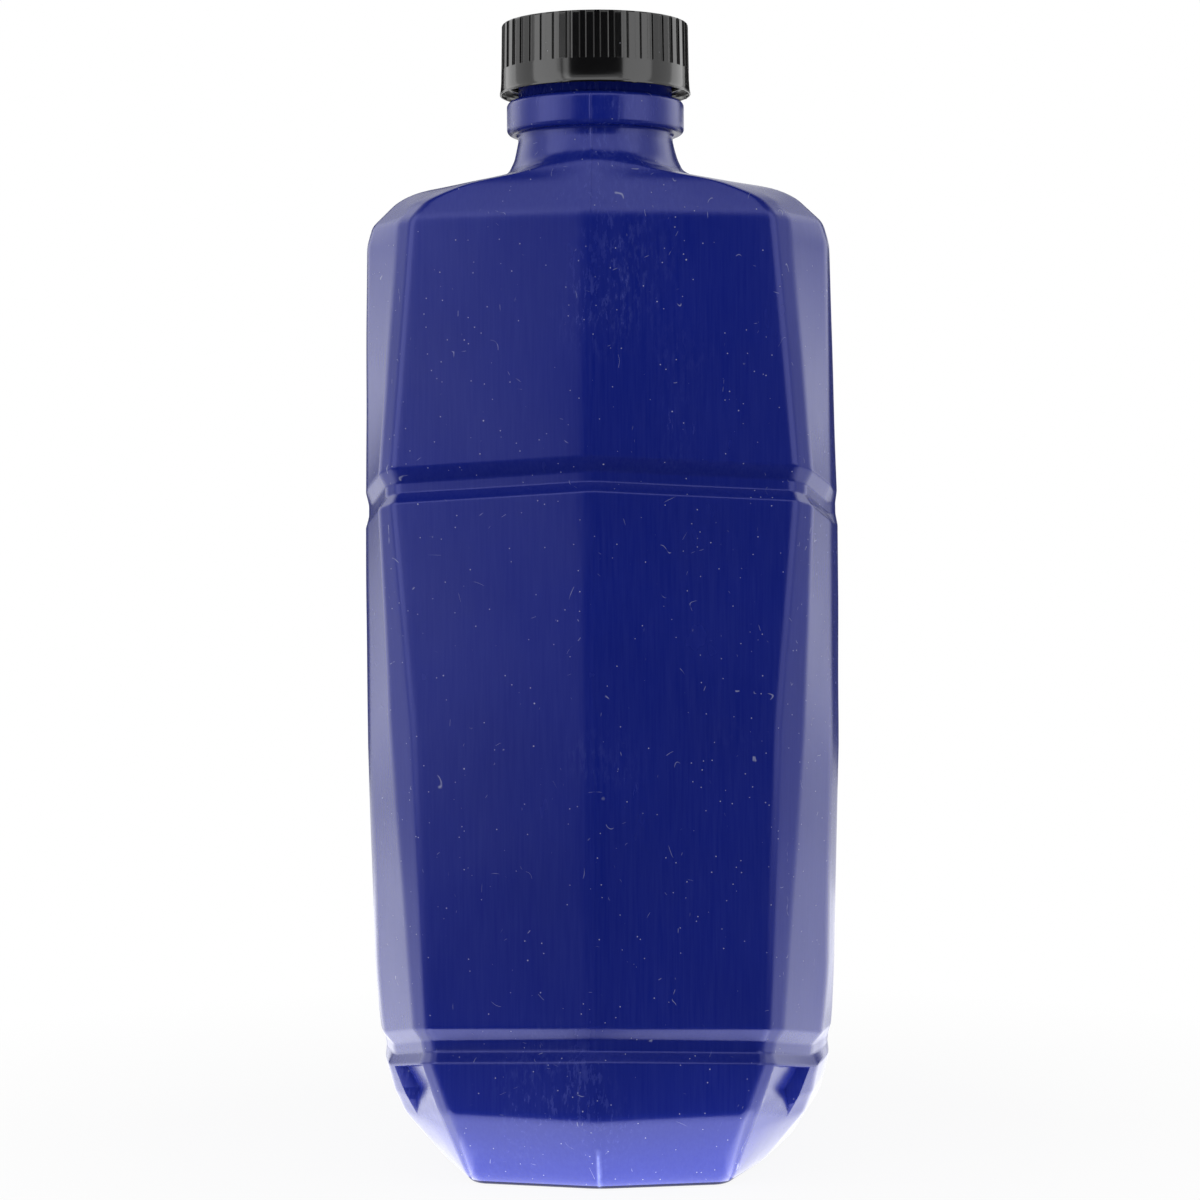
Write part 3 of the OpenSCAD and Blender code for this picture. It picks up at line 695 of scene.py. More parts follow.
class Finish:
    """A material and short calls to build its nodes."""

    def __init__(self, name):
        self.material = bpy.data.materials.new(name)
        self.material.use_nodes = True
        self.nodes, self.links = self.material.node_tree.nodes, self.material.node_tree.links
        self.shader = self.nodes["Principled BSDF"]
        self.place = self.nodes.new("ShaderNodeTexCoord").outputs["Object"]

    def put(self, socket, value):
        if isinstance(value, bpy.types.NodeSocket):
            self.links.new(value, socket)
        elif isinstance(value, (tuple, list)) and len(value) == 3 and socket.type == "RGBA":
            socket.default_value = (*value, 1.0)
        else:
            socket.default_value = value

    def stretched(self, scale, turn=(0, 0, 0), offset=(0, 0, 0)):
        node = self.nodes.new("ShaderNodeMapping")
        self.put(node.inputs["Vector"], self.place)
        node.inputs["Scale"].default_value = scale
        node.inputs["Rotation"].default_value = [math.radians(a) for a in turn]
        node.inputs["Location"].default_value = offset
        return node.outputs["Vector"]

    def noise(self, scale, detail=2.0, rough=0.5, vector=None, twist=0.0):
        node = self.nodes.new("ShaderNodeTexNoise")
        self.put(node.inputs["Vector"], vector or self.place)
        for name, value in (("Scale", scale), ("Detail", detail), ("Roughness", rough), ("Distortion", twist)):
            node.inputs[name].default_value = value
        return node.outputs["Fac"]

    def cells(self, scale, vector=None):
        node = self.nodes.new("ShaderNodeTexVoronoi")
        self.put(node.inputs["Vector"], vector or self.place)
        node.inputs["Scale"].default_value = scale
        return node.outputs["Distance"], node.outputs["Color"]

    def sum(self, operation, a, b=0.0, c=None):
        node = self.nodes.new("ShaderNodeMath")
        node.operation = operation
        self.put(node.inputs[0], a)
        self.put(node.inputs[1], b)
        if c is not None:
            self.put(node.inputs[2], c)
        return node.outputs[0]

    def between(self, value, low, high, out_low=0.0, out_high=1.0):
        node = self.nodes.new("ShaderNodeMapRange")
        for name, entry in (("Value", value), ("From Min", low), ("From Max", high), ("To Min", out_low),
                            ("To Max", out_high)):
            self.put(node.inputs[name], entry)
        return node.outputs["Result"]

    def mixed(self, factor, a, b):
        node = self.nodes.new("ShaderNodeMix")
        node.data_type = "RGBA"
        self.put(node.inputs["Factor"], factor)
        self.put(node.inputs["A"] if node.inputs["A"].type == "RGBA" else node.inputs[6], a)
        self.put(node.inputs["B"] if node.inputs["B"].type == "RGBA" else node.inputs[7], b)
        return node.outputs[2]

    def attribute(self, name):
        node = self.nodes.new("ShaderNodeAttribute")
        node.attribute_name = name
        return node.outputs["Fac"]

    def bumped(self, height, distance, under=None, strength=1.0):
        node = self.nodes.new("ShaderNodeBump")
        self.put(node.inputs["Height"], height)
        node.inputs["Distance"].default_value = distance
        node.inputs["Strength"].default_value = strength
        if under is not None:
            self.put(node.inputs["Normal"], under)
        return node.outputs["Normal"]

    def set(self, **sockets):
        for name, value in sockets.items():
            self.put(self.shader.inputs[name.replace("_", " ")], value)
        return self.material


def specks(f, scale, size, share_kept):
    """Small dots, each in its own cell, of which only a share is kept."""
    distance, tone = f.cells(scale)
    split = f.nodes.new("ShaderNodeSeparateColor")
    f.put(split.inputs[0], tone)
    kept = f.sum("LESS_THAN", split.outputs[0], share_kept)
    return f.sum("MULTIPLY", kept, f.between(distance, size, size * 0.55))


def hairlines(f, scale, stretch, turn, width, patch_scale, cover):
    """Thin curved scratches: level lines of a stretched noise, kept in patches."""
    level = f.noise(scale, 1.0, 0.4, f.stretched(stretch, turn), 0.6)
    line = f.between(f.sum("ABSOLUTE", f.sum("SUBTRACT", level, 0.5)), width, 0.0)
    patch = f.between(f.noise(patch_scale, 1.0, 0.5, f.stretched((1, 1, 1), (0, 0, 0), (3.1, 1.7, 0.4))),
                      1 - cover, 1 - cover + 0.06)
    return f.sum("MULTIPLY", line, patch)


def blown_plastic(s):
    """Satin navy polyethylene with a fine upright grain, dust, hair scratches and rubbed edges."""
    f = Finish("navy_blown_plastic")
    grain = f.noise(1500, 3.0, 0.6, f.stretched((1, 1, 0.045)))
    peel = f.noise(620, 3.0, 0.55)
    cloud = f.noise(28, 2.0, 0.5)
    mottle = f.noise(75, 3.0, 0.6, f.stretched((1, 1, 0.45)))
    dots = f.sum("MAXIMUM", specks(f, 410, 0.07, 0.85), specks(f, 170, 0.04, 0.5))
    hairs = f.sum("MAXIMUM", hairlines(f, 110, (1, 1, 0.6), (12, 20, 0), 0.0042, 330, 0.36),
                  hairlines(f, 70, (0.7, 1, 1.2), (40, 5, 30), 0.0026, 240, 0.32))
    patches = f.between(f.noise(19, 2.0, 0.55, f.stretched((1, 1, 0.8), (0, 0, 0), (0.7, 0.2, 1.9))),
                        0.56, 0.72)
    rubbed = f.sum("MULTIPLY", patches,
                   f.between(f.noise(900, 4.0, 0.7, f.stretched((1, 1, 0.3), (0, 25, 0))), 0.5, 0.68))
    ridge = f.sum("MULTIPLY", f.between(f.attribute("edge"), 0.25, 0.9),
                  f.between(f.noise(240, 3.0, 0.6), 0.38, 0.7))
    scar = f.attribute("scar")
    tone = f.mixed(f.between(cloud, 0.3, 0.7, 0.0, 0.35), tuple(s.navy), tuple(c * 1.28 for c in s.navy))
    tone = f.mixed(f.between(grain, 0.35, 0.7, 0.0, 0.035), tone, tuple(s.stress))
    tone = f.mixed(f.sum("MULTIPLY", ridge, 0.12 + 0.1 * s.wear), tone, tuple(s.stress))
    tone = f.mixed(f.sum("MULTIPLY", rubbed, 0.3 * s.wear), tone, tuple(s.stress))
    tone = f.mixed(f.sum("MULTIPLY", hairs, 0.8 * s.wear), tone, tuple(s.dust))
    tone = f.mixed(f.sum("MULTIPLY", scar, f.between(f.noise(420, 3.0, 0.6), 0.3, 0.55, 0.35, 1.0)),
                   tone, tuple(s.stress))
    tone = f.mixed(f.sum("MULTIPLY", dots, 1.2 * s.wear), tone, tuple(s.dust))
    rough = f.sum("ADD", s.jug_gloss - 0.06, f.sum("MULTIPLY", mottle, 0.12))
    rough = f.sum("ADD", rough, f.sum("MULTIPLY", f.sum("MAXIMUM", rubbed, hairs), 0.05))
    rough = f.sum("ADD", rough, f.sum("MULTIPLY", dots, 0.2))
    bump = f.bumped(f.noise(42, 1.0, 0.4), 1.1e-4)
    bump = f.bumped(peel, 1.1e-5, bump)
    bump = f.bumped(grain, 5.0e-6, bump)
    bump = f.bumped(f.sum("ADD", hairs, f.sum("MULTIPLY", dots, -3.0)), -1.2e-5, bump)
    return f.set(Base_Color=tone, Roughness=rough, Normal=bump, IOR=1.5, Specular_Tint=(0.52, 0.54, 1.0))


def gloss_plastic(s):
    """Glossy black polypropylene with faint flow marks, fine dust and rubbed rib edges."""
    f = Finish("black_gloss_plastic")
    dots = specks(f, 420, 0.07, 0.4)
    hairs = hairlines(f, 60, (1, 1, 0.4), (20, 10, 0), 0.002, 60, 0.4)
    ridge = f.sum("MULTIPLY", f.between(f.attribute("edge"), 0.3, 0.95),
                  f.between(f.noise(500, 3.0, 0.6), 0.4, 0.7))
    tone = f.mixed(f.sum("MULTIPLY", ridge, 0.1), tuple(s.black), (0.16, 0.16, 0.17))
    tone = f.mixed(f.sum("MULTIPLY", dots, 0.7 * s.wear), tone, tuple(s.dust))
    rough = f.sum("ADD", s.cap_gloss - 0.03, f.sum("MULTIPLY", f.noise(160, 3.0, 0.6), 0.07))
    rough = f.sum("ADD", rough, f.sum("MULTIPLY", f.sum("MAXIMUM", dots, hairs), 0.2))
    bump = f.bumped(f.noise(110, 2.0, 0.5), 2.5e-5)
    bump = f.bumped(f.noise(1500, 2.0, 0.5), 1.2e-6, bump)
    return f.set(Base_Color=tone, Roughness=rough, Normal=bump, IOR=1.5)


def satin_plastic(s):
    """Satin black polypropylene with the fine texture of an eroded mould."""
    f = Finish("black_satin_plastic")
    tone = f.mixed(f.between(f.noise(300, 3.0, 0.6), 0.35, 0.7), tuple(s.inner_black),
                   tuple(c * 1.7 for c in s.inner_black))
    tone = f.mixed(f.sum("MULTIPLY", f.between(f.attribute("edge"), 0.3, 0.9), 0.12), tone, (0.15, 0.15, 0.16))
    rough = f.sum("ADD", 0.36, f.sum("MULTIPLY", f.noise(800, 3.0, 0.6), 0.14))
    return f.set(Base_Color=tone, Roughness=rough, Normal=f.bumped(f.noise(2400, 2.0, 0.6), 6e-6), IOR=1.49)


def foam_liner(s, axis_y):
    """Pale closed-cell foam with the ring that the neck's sealing face pressed into it."""
    f = Finish("pale_foam")
    split = f.nodes.new("ShaderNodeSeparateXYZ")
    f.put(split.inputs[0], f.place)
    far = f.sum("POWER", f.sum("ADD", f.sum("POWER", split.outputs[0], 2.0),
                               f.sum("POWER", f.sum("SUBTRACT", split.outputs[1], axis_y), 2.0)), 0.5)
    pressed = f.sum("SUBTRACT", 1.0,
                    f.between(f.sum("ABSOLUTE", f.sum("SUBTRACT", far, 0.0192)), 0.0005, 0.0011))
    cells, _ = f.cells(2300)
    tone = f.mixed(f.sum("MULTIPLY", pressed, 0.3), tuple(s.foam), tuple(c * 0.62 for c in s.foam))
    tone = f.mixed(f.between(f.noise(120, 3.0, 0.6), 0.45, 0.75, 0.0, 0.25), tone, (0.5, 0.47, 0.38))
    bump = f.bumped(pressed, -1.5e-4)
    bump = f.bumped(cells, 2.5e-5, bump)
    return f.set(Base_Color=tone, Roughness=f.between(cells, 0.0, 0.6, 0.62, 0.8), Normal=bump)


# Repeats round the cap's axis.


def ring_repeat():
    """Node tree: copies of one piece round an upright axis, realised, merged and finished."""
    tree = bpy.data.node_groups.new("repeat_round_axis", "GeometryNodeTree")
    sockets = {}
    for name, kind in (("Piece", "NodeSocketGeometry"), ("Count", "NodeSocketInt"),
                       ("First turn", "NodeSocketFloat"), ("Axis", "NodeSocketVector"),
                       ("Merge", "NodeSocketFloat"), ("Finish", "NodeSocketMaterial")):
        sockets[name] = tree.interface.new_socket(name, in_out="INPUT", socket_type=kind).identifier
    tree.interface.new_socket("Ring", in_out="OUTPUT", socket_type="NodeSocketGeometry")
    add, link = tree.nodes.new, tree.links.new
    given, result = add("NodeGroupInput"), add("NodeGroupOutput")
    points, index, step = add("GeometryNodePoints"), add("GeometryNodeInputIndex"), add("ShaderNodeMath")
    turn, euler, place = add("ShaderNodeMath"), add("ShaderNodeCombineXYZ"), add("FunctionNodeEulerToRotation")
    copies, real = add("GeometryNodeInstanceOnPoints"), add("GeometryNodeRealizeInstances")
    merge, finish = add("GeometryNodeMergeByDistance"), add("GeometryNodeSetMaterial")
    step.operation, turn.operation = "DIVIDE", "MULTIPLY_ADD"
    step.inputs[0].default_value = 2 * math.pi
    link(given.outputs["Count"], step.inputs[1])
    link(index.outputs[0], turn.inputs[0])
    link(step.outputs[0], turn.inputs[1])
    link(given.outputs["First turn"], turn.inputs[2])
    link(turn.outputs[0], euler.inputs["Z"])
    link(euler.outputs[0], place.inputs[0])
    link(given.outputs["Count"], points.inputs["Count"])
    link(given.outputs["Axis"], points.inputs["Position"])
    link(points.outputs[0], copies.inputs["Points"])
    link(given.outputs["Piece"], copies.inputs["Instance"])
    link(place.outputs[0], copies.inputs["Rotation"])
    link(copies.outputs[0], real.inputs[0])
    link(real.outputs[0], merge.inputs["Geometry"])
    link(given.outputs["Merge"], merge.inputs["Distance"])
    link(merge.outputs[0], finish.inputs["Geometry"])
    link(given.outputs["Finish"], finish.inputs["Material"])
    link(finish.outputs[0], result.inputs[0])
    return tree, sockets


def repeated(piece, count, first_turn, axis, material, merge=1e-7):
    """Replaces a piece's mesh by a ring of its copies round the axis."""
    tree, sockets = ring_repeat()
    ring = piece.modifiers.new("ring", "NODES")
    ring.node_group = tree
    for name, value in (("Count", count), ("First turn", first_turn), ("Axis", axis), ("Merge", merge),
                        ("Finish", material)):
        ring[sockets[name]] = value
    baked(piece)
    bpy.data.node_groups.remove(tree)


def joined(name, pieces):
    """One object from several, kept as separate closed skins."""
    work = bmesh.new()
    for piece in pieces:
        work.from_mesh(piece.data)
        bpy.data.objects.remove(piece)
    mesh = bpy.data.meshes.new(name)
    work.to_mesh(mesh)
    work.free()
    whole = bpy.data.objects.new(name, mesh)
    bpy.context.scene.collection.objects.link(whole)
    return whole


def wedge(name, profile, angles):
    """A slice of a turned piece: rows of radius, height and the rib's share, over the slice's angles."""
    rows = []
    for r, z, cut in profile:
        rows.append([(cut(r, z, a) * math.sin(math.radians(a)), -cut(r, z, a) * math.cos(math.radians(a)), z)
                     for a in angles])
    count, points, faces = len(angles), [p for row in rows for p in row], []
    for j in range(len(rows) - 1):
        for i in range(count - 1):
            a = j * count + i
            faces.append((a + count, a + 1 + count, a + 1, a))
    return mesh_object(name, points, faces)


def rounded_edge(r, z, radius, start, end, steps=4):
    """Points of a quarter circle about r and z."""
    turns = np.radians(np.linspace(start, end, steps + 1))
    return [(r + radius * math.cos(a), z + radius * math.sin(a)) for a in turns]


class JUG_OT_body(Operator):
    """Builds the blown jug with its hollow handle, neck and thread."""

    bl_idname = "jug.body"
    bl_label = "Build the jug"

    def execute(self, context):
        d = in_millimetres(context.scene.jug_sizes)
        tables = section_tables(d)
        middle = np.array((0.0, d.neck_back - d.body_d / 2))
        jug = outer_skin(d, tables)
        handle = handle_skin(d, 0.0, "handle_outside")
        before = np.concatenate([coordinates(jug.data), coordinates(handle.data)])
        combined(jug, handle, "UNION")
        blend_seams(jug, before, 0.011)
        waver(jug)
        thread = helix_ridge("neck_thread", middle, d.thread_root_d / 2 - 0.05, d.thread_d / 2, 285.4, 0.0, 540.0,
                             d.pitch, 2.2, 0.9)
        combined(jug, thread, "UNION")
        combined(jug, inner_skin(d, tables), "DIFFERENCE")
        combined(jug, handle_skin(d, d.wall, "handle_inside"), "DIFFERENCE")
        jug.name = jug.data.name = "blown_jug"
        kept_in_box(jug, (d.body_w / 2000.0, d.body_d / 2000.0))

        def scar(p):
            x, y, z = p.T
            across = np.exp(-((x - 0.25) / 0.34) ** 2)
            return across * (z < 12.6) * (y < -d.body_d / 2 + 16) * (1 - ease(9.5, 12.5, z))

        smooth(jug, 55)
        mark_wear(jug, scar)
        finished(jug, "jug", "jug_plastic", blown_plastic(context.scene.jug_finishes), "jug")
        return {"FINISHED"}


class JUG_OT_cap_shell(Operator):
    """Builds the ribbed outer shell of the cap."""

    bl_idname = "jug.cap_shell"
    bl_label = "Build the cap's shell"

    def execute(self, context):
        d, c = in_millimetres(context.scene.jug_sizes), in_millimetres(context.scene.cap_sizes)
        half = 180.0 / c.rib_count
        rib = half * (1 - c.rib_gap)
        top, lip, crown = c.cap_d / 2, c.lip_d / 2, c.cap_top
        ribs_z = c.skirt_z + c.band_h
        right = [(0.0, 0.0), (rib * 0.5, 0.0), (rib - 0.42, 0.0), (rib - 0.2, 0.0),
                 (rib - 0.06, 0.05), (rib + 0.03, 0.2),
                 (rib + 0.08, 0.6), (rib + 0.13, 0.88), (rib + 0.3, 1.0), (rib + 0.9, 1.0), (half, 1.0)]
        angles = [-a for a, _ in reversed(right[1:])] + [a for a, _ in right]

        def plain(r, z, a):
            return r

        def ribbed(r, z, a):
            a = abs(a)
            share_cut = float(np.interp(a, [p[0] for p in right], [p[1] for p in right]))
            face = top + (lip - 0.35 - top) * (crown - 0.6 - z) / (crown - 0.6 - c.skirt_z - 1.3)
            flat = math.cos(math.radians(rib)) / math.cos(math.radians(a)) if a < rib else 1.0
            return min(r * flat, face - c.rib_depth * share_cut) if share_cut > 0 else r * flat

        rows = [(0.0, crown - 0.42, plain), (1.0, crown - 0.42, plain), (1.3, crown - 0.3, plain),
                (9.0, crown - 0.28, plain),
                (18.6, crown - 0.28, plain), (19.0, crown - 0.24, plain), (19.35, crown - 0.06, plain),
                (19.75, crown, plain), (22.4, crown, plain), (top - 0.72, crown, ribbed)]
        rows += [(r, z, ribbed) for r, z in rounded_edge(top - 0.6, crown - 0.6, 0.6, 90, 0, 6)]
        for z in (crown - 1.4, crown - 4.5, ribs_z + 3.5, ribs_z + 0.8, ribs_z + 0.25):
            rows.append((top + (lip - 0.35 - top) * (crown - 0.6 - z) / (crown - 0.6 - c.skirt_z - 1.3),
                         z, ribbed))
        face = rows[-1][0]
        rows += [(face + 0.002, ribs_z + 0.12, ribbed), (face + 0.004, ribs_z, plain),
                 (face + 0.005, ribs_z - 0.12, plain),
                 (face + 0.01, ribs_z - 0.5, plain), (face + 0.06, c.skirt_z + 3.4, plain),
                 (lip - 0.26, c.skirt_z + 1.8, plain), (lip - 0.16, c.skirt_z + 1.0, plain),
                 (lip - 0.07, c.skirt_z + 0.62, plain), (lip, c.skirt_z + 0.45, plain),
                 (lip, c.skirt_z + 0.16, plain), (lip - 0.05, c.skirt_z + 0.03, plain),
                 (lip - 0.14, c.skirt_z, plain),
                 (lip - 0.36, c.skirt_z, plain), (lip - 0.46, c.skirt_z + 0.1, plain),
                 (lip - 0.62, c.skirt_z + 1.2, plain),
                 (lip - 0.8, c.skirt_z + 2.0, plain)]
        inside, bead = lip - 2.1, c.inner_z - 1.0
        rows += [(lip - 1.1, bead - 0.35, plain), (inside - 0.45, bead - 0.1, plain),
                 (inside - 0.6, bead + 0.05, plain),
                 (inside - 0.6, bead + 0.55, plain), (inside - 0.1, bead + 1.1, plain),
                 (inside, bead + 1.3, plain),
                 (inside, crown - c.shell_wall - 0.5, plain),
                 (inside - 0.15, crown - c.shell_wall - 0.13, plain),
                 (inside - 0.5, crown - c.shell_wall, plain), (10.0, crown - c.shell_wall, plain),
                 (0.0, crown - c.shell_wall, plain)]
        shell = wedge("ribbed_shell", rows, angles)
        finish = gloss_plastic(context.scene.jug_finishes)
        axis = (0.0, (d.neck_back - d.body_d / 2) / 1000.0, 0.0)
        repeated(shell, c.rib_count, 0.0, axis, finish, 2e-6)
        recalculated(shell)
        lugs = lug("shell_lugs", 16.4, 20.4, crown - c.shell_wall + 0.2, -(c.tooth_h + 0.2), 4.0)
        repeated(lugs, c.tooth_count, 0.0, axis, finish)
        cap = joined("cap_outer_shell", [shell, lugs])
        roughen_lip(cap, c, d)
        smooth(cap, 50)
        mark_wear(cap)
        finished(cap, "cap_shell", "cap_plastic", finish, "cap_shell")
        return {"FINISHED"}


def lug(name, r0, r1, z, rise, half_angle):
    """A driving tooth with chamfered edges, on the side that rise points to."""
    rings = []
    for share_up, pull in ((0.0, 0.0), (0.75, 0.0), (0.93, 0.12), (1.0, 0.35)):
        loop = []
        for r, side in ((r0 + pull, -1), (r1 - pull, -1), (r1 - pull, 1), (r0 + pull, 1)):
            a = math.radians(side * (half_angle - math.degrees(pull / r)))
            loop.append((r * math.sin(a), -r * math.cos(a), z + rise * share_up))
        rings.append(np.array(loop))
    piece = lofted(name, rings)
    recalculated(piece)
    return piece


def roughen_lip(cap, c, d):
    """Leaves small burrs on the rim of the lip, where the mould halves bit."""
    points = coordinates(cap.data)
    x, y, z = (points * 1000).T
    y = y - (d.neck_back - d.body_d / 2)
    r, angle = np.hypot(x, y), np.degrees(np.arctan2(x, -y))
    low = (r > c.lip_d / 2 - 0.5) & (z < c.skirt_z + 0.5)
    push = np.zeros(len(points))
    for at, width, size in ((26.5, 1.3, 0.16), (50.5, 1.0, 0.14), (-17.0, 0.8, 0.08), (3.0, 1.1, 0.07),
                                (-71.0, 1.5, 0.1),
                            (108.0, 1.2, 0.12), (171.0, 1.4, 0.1), (-133.0, 1.0, 0.13)):
        push += size * np.exp(-((angle - at) / width) ** 2)
    points[:, 2] -= np.where(low, push, 0) / 1000.0
    cap.data.vertices.foreach_set("co", points.ravel())
    cap.data.update()


class JUG_OT_inner_cap(Operator):
    """Builds the threaded inner cap with its drive teeth."""

    bl_idname = "jug.inner_cap"
    bl_label = "Build the inner cap"

    def execute(self, context):
        d, c = in_millimetres(context.scene.jug_sizes), in_millimetres(context.scene.cap_sizes)
        inside = d.thread_d / 2 + c.play
        outside, top, low = inside + c.inner_wall, c.inner_top, c.inner_z
        rows = [(0.0, top), (14.0, top), (15.6, top), (21.0, top), (outside - 0.62, top)]
        rows += rounded_edge(outside - 0.6, top - 0.6, 0.6, 80, 0, 5)
        rows += [(outside, top - 1.2), (outside, low + 2.0), (outside, low + 0.3),
                 (outside - 0.08, low + 0.08),
                 (outside - 0.3, low), (inside + 0.3, low), (inside + 0.06, low + 0.1), (inside, low + 0.4),
                 (inside, low + 3),
                 (inside, top - c.inner_wall - 1.0), (inside, top - c.inner_wall), (8.0, top - c.inner_wall),
                 (0.0, top - c.inner_wall)]
        shell = wedge("inner_wall", [(r, z, lambda r, z, a: r) for r, z in rows], [-2.25, 0.0, 2.25])
        finish = satin_plastic(context.scene.jug_finishes)
        axis = (0.0, (d.neck_back - d.body_d / 2) / 1000.0, 0.0)
        repeated(shell, 80, 0.0, axis, finish, 2e-6)
        recalculated(shell)
        teeth = lug("drive_teeth", 16.4, 20.4, top - 0.2, c.tooth_h + 0.2, 5.0)
        repeated(teeth, c.tooth_count, math.pi / c.tooth_count, axis, finish)
        middle = np.array((0.0, d.neck_back - d.body_d / 2))
        thread = helix_ridge("cap_thread", middle, inside + 0.05, inside - 0.85, 285.4 - d.pitch / 2, 270.0, 700.0,
                             d.pitch, 2.0, 0.8)
        cap = joined("cap_inner", [shell, teeth, thread])
        smooth(cap, 45)
        mark_wear(cap)
        finished(cap, "inner_cap", "inner_cap_plastic", finish, "inner_cap")
        return {"FINISHED"}


class JUG_OT_liner(Operator):
    """Gives the sealing liner its foam."""

    bl_idname = "jug.liner"
    bl_label = "Finish the liner"

    def execute(self, context):
        d = in_millimetres(context.scene.jug_sizes)
        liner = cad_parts["cap_liner"]
        liner.data.materials.clear()
        liner.data.materials.append(foam_liner(context.scene.jug_finishes, (d.neck_back - d.body_d / 2) / 1000.0))
        return {"FINISHED"}


# A flat lamp's power in watts for each square metre, at a radiance of 1
POWER_AT_ONE = 4.0


def tent_panel(name, place, towards, size, level):
    """Adds a soft panel of an even radiance, hidden from the camera itself."""
    lamp = bpy.data.lights.new(name, "AREA")
    lamp.shape, lamp.size, lamp.size_y = "RECTANGLE", size[0], size[1]
    lamp.energy = level * POWER_AT_ONE * size[0] * size[1]
    lit = bpy.data.objects.new(name, lamp)
    bpy.context.scene.collection.objects.link(lit)
    aim = Vector(towards) - Vector(place)
    lit.matrix_world = Matrix.Translation(place) @ aim.to_track_quat("-Z", "Y").to_matrix().to_4x4()
    lit.visible_camera = False


class JUG_OT_stage(Operator):
    """Sets the pale floor, the white surroundings, the light tent and the camera."""

    bl_idname = "jug.stage"
    bl_label = "Set the stage"

    def execute(self, context):
        s, scene = context.scene.jug_stage, context.scene
        d = in_millimetres(scene.jug_sizes)
        axis_y = (d.neck_back - d.body_d / 2) / 1000.0
        rings = [np.array([(r * math.cos(a), r * math.sin(a), -0.1) for a in np.radians(np.arange(0, 360, 7.5))])
                 for r in (3000.0, 1200.0, 500.0, 200.0, 60.0)]
        floor = lofted("floor", rings, ends=False)
        disc = bmesh.new()
        disc.from_mesh(floor.data)
        bmesh.ops.holes_fill(disc, edges=[e for e in disc.edges if e.is_boundary and e.verts[0].co.length < 0.1])
        bmesh.ops.recalc_face_normals(disc, faces=disc.faces)
        if sum(f.normal.z for f in disc.faces) < 0:
            bmesh.ops.reverse_faces(disc, faces=disc.faces)
        disc.to_mesh(floor.data)
        disc.free()
        paper = Finish("pale_floor")
        paper.set(Base_Color=tuple(s.paper), Roughness=0.9)
        near = paper.nodes.new("ShaderNodeVectorMath")
        near.operation = "LENGTH"
        paper.put(near.inputs[0], paper.place)
        rays = paper.nodes.new("ShaderNodeLightPath")
        seen = paper.sum("MAXIMUM", rays.outputs["Is Camera Ray"],
                         paper.sum("MAXIMUM", rays.outputs["Is Glossy Ray"], rays.outputs["Is Transmission Ray"]))
        glow, blend = paper.nodes.new("ShaderNodeEmission"), paper.nodes.new("ShaderNodeMixShader")
        far = paper.between(near.outputs["Value"], 0.12, 0.3, 0.92, 1.0)
        paper.links.new(paper.sum("MULTIPLY", seen, far), blend.inputs[0])
        paper.links.new(paper.shader.outputs[0], blend.inputs[1])
        paper.links.new(glow.outputs[0], blend.inputs[2])
        out = paper.nodes["Material Output"]
        paper.links.new(blend.outputs[0], out.inputs["Surface"])
        floor.data.materials.append(paper.material)

        black = Finish("dark_card")
        black.set(Base_Color=(0.004, 0.004, 0.005), Roughness=0.9)

        def standing(x0, x1, y, z0, z1):
            return [(x0, y, z0), (x1, y, z0), (x1, y, z1), (x0, y, z1)]

        def lying(x0, x1, y0, y1, z):
            return [(x0, y0, z), (x1, y0, z), (x1, y1, z), (x0, y1, z)]

        for name, corners in (("front_card", standing(-1060, 800, -1150, 0, 700)),
                              ("table_card", lying(-1060, 800, -1150, -103, 1)),
                              ("top_card", lying(-900, 900, -1000, 500, 1248)),
                              ("left_cap_card", standing(-850, -170, 1200, 470, 760)),
                              ("right_cap_card", standing(170, 850, 1200, 470, 760)),
                              ("left_edge_card", standing(-850, -170, 1200, 0, 380)),
                              ("right_edge_card", standing(170, 850, 1200, 0, 380))):
            card = mesh_object(name, corners, [(0, 1, 2, 3)])
            card.data.materials.append(black.material)
            card.visible_camera = card.visible_shadow = card.visible_diffuse = False

        world = bpy.data.worlds.new("white_room")
        scene.world = world
        world.use_nodes = True
        nodes, links = world.node_tree.nodes, world.node_tree.links
        path, mix = nodes.new("ShaderNodeLightPath"), nodes.new("ShaderNodeMixShader")
        dim, white = nodes["Background"], nodes.new("ShaderNodeBackground")
        for shade, level in ((dim, 0.14), (white, 1.0)):
            shade.inputs["Color"].default_value, shade.inputs["Strength"].default_value = (1, 1, 1, 1), level
        # The white shows to the camera, in mirrors and through glass; other rays meet the dim room.
        mirrored, clear = nodes.new("ShaderNodeMath"), nodes.new("ShaderNodeMath")
        mirrored.operation = clear.operation = "MAXIMUM"
        links.new(path.outputs["Is Camera Ray"], mirrored.inputs[0])
        links.new(path.outputs["Is Glossy Ray"], mirrored.inputs[1])
        links.new(mirrored.outputs[0], clear.inputs[0])
        links.new(path.outputs["Is Transmission Ray"], clear.inputs[1])
        links.new(clear.outputs[0], mix.inputs[0])
        links.new(dim.outputs[0], mix.inputs[1])
        links.new(white.outputs[0], mix.inputs[2])
        links.new(mix.outputs[0], nodes["World Output"].inputs["Surface"])

        aim, table = (0.0, 0.0, 0.16), 0.001

        def upright(name, turn, far, wide, tall, level):
            a = math.radians(turn)
            tent_panel(name, (far * math.sin(a), axis_y - far * math.cos(a), tall / 2),
                       (0.0, axis_y, tall / 2), (wide, tall), level)

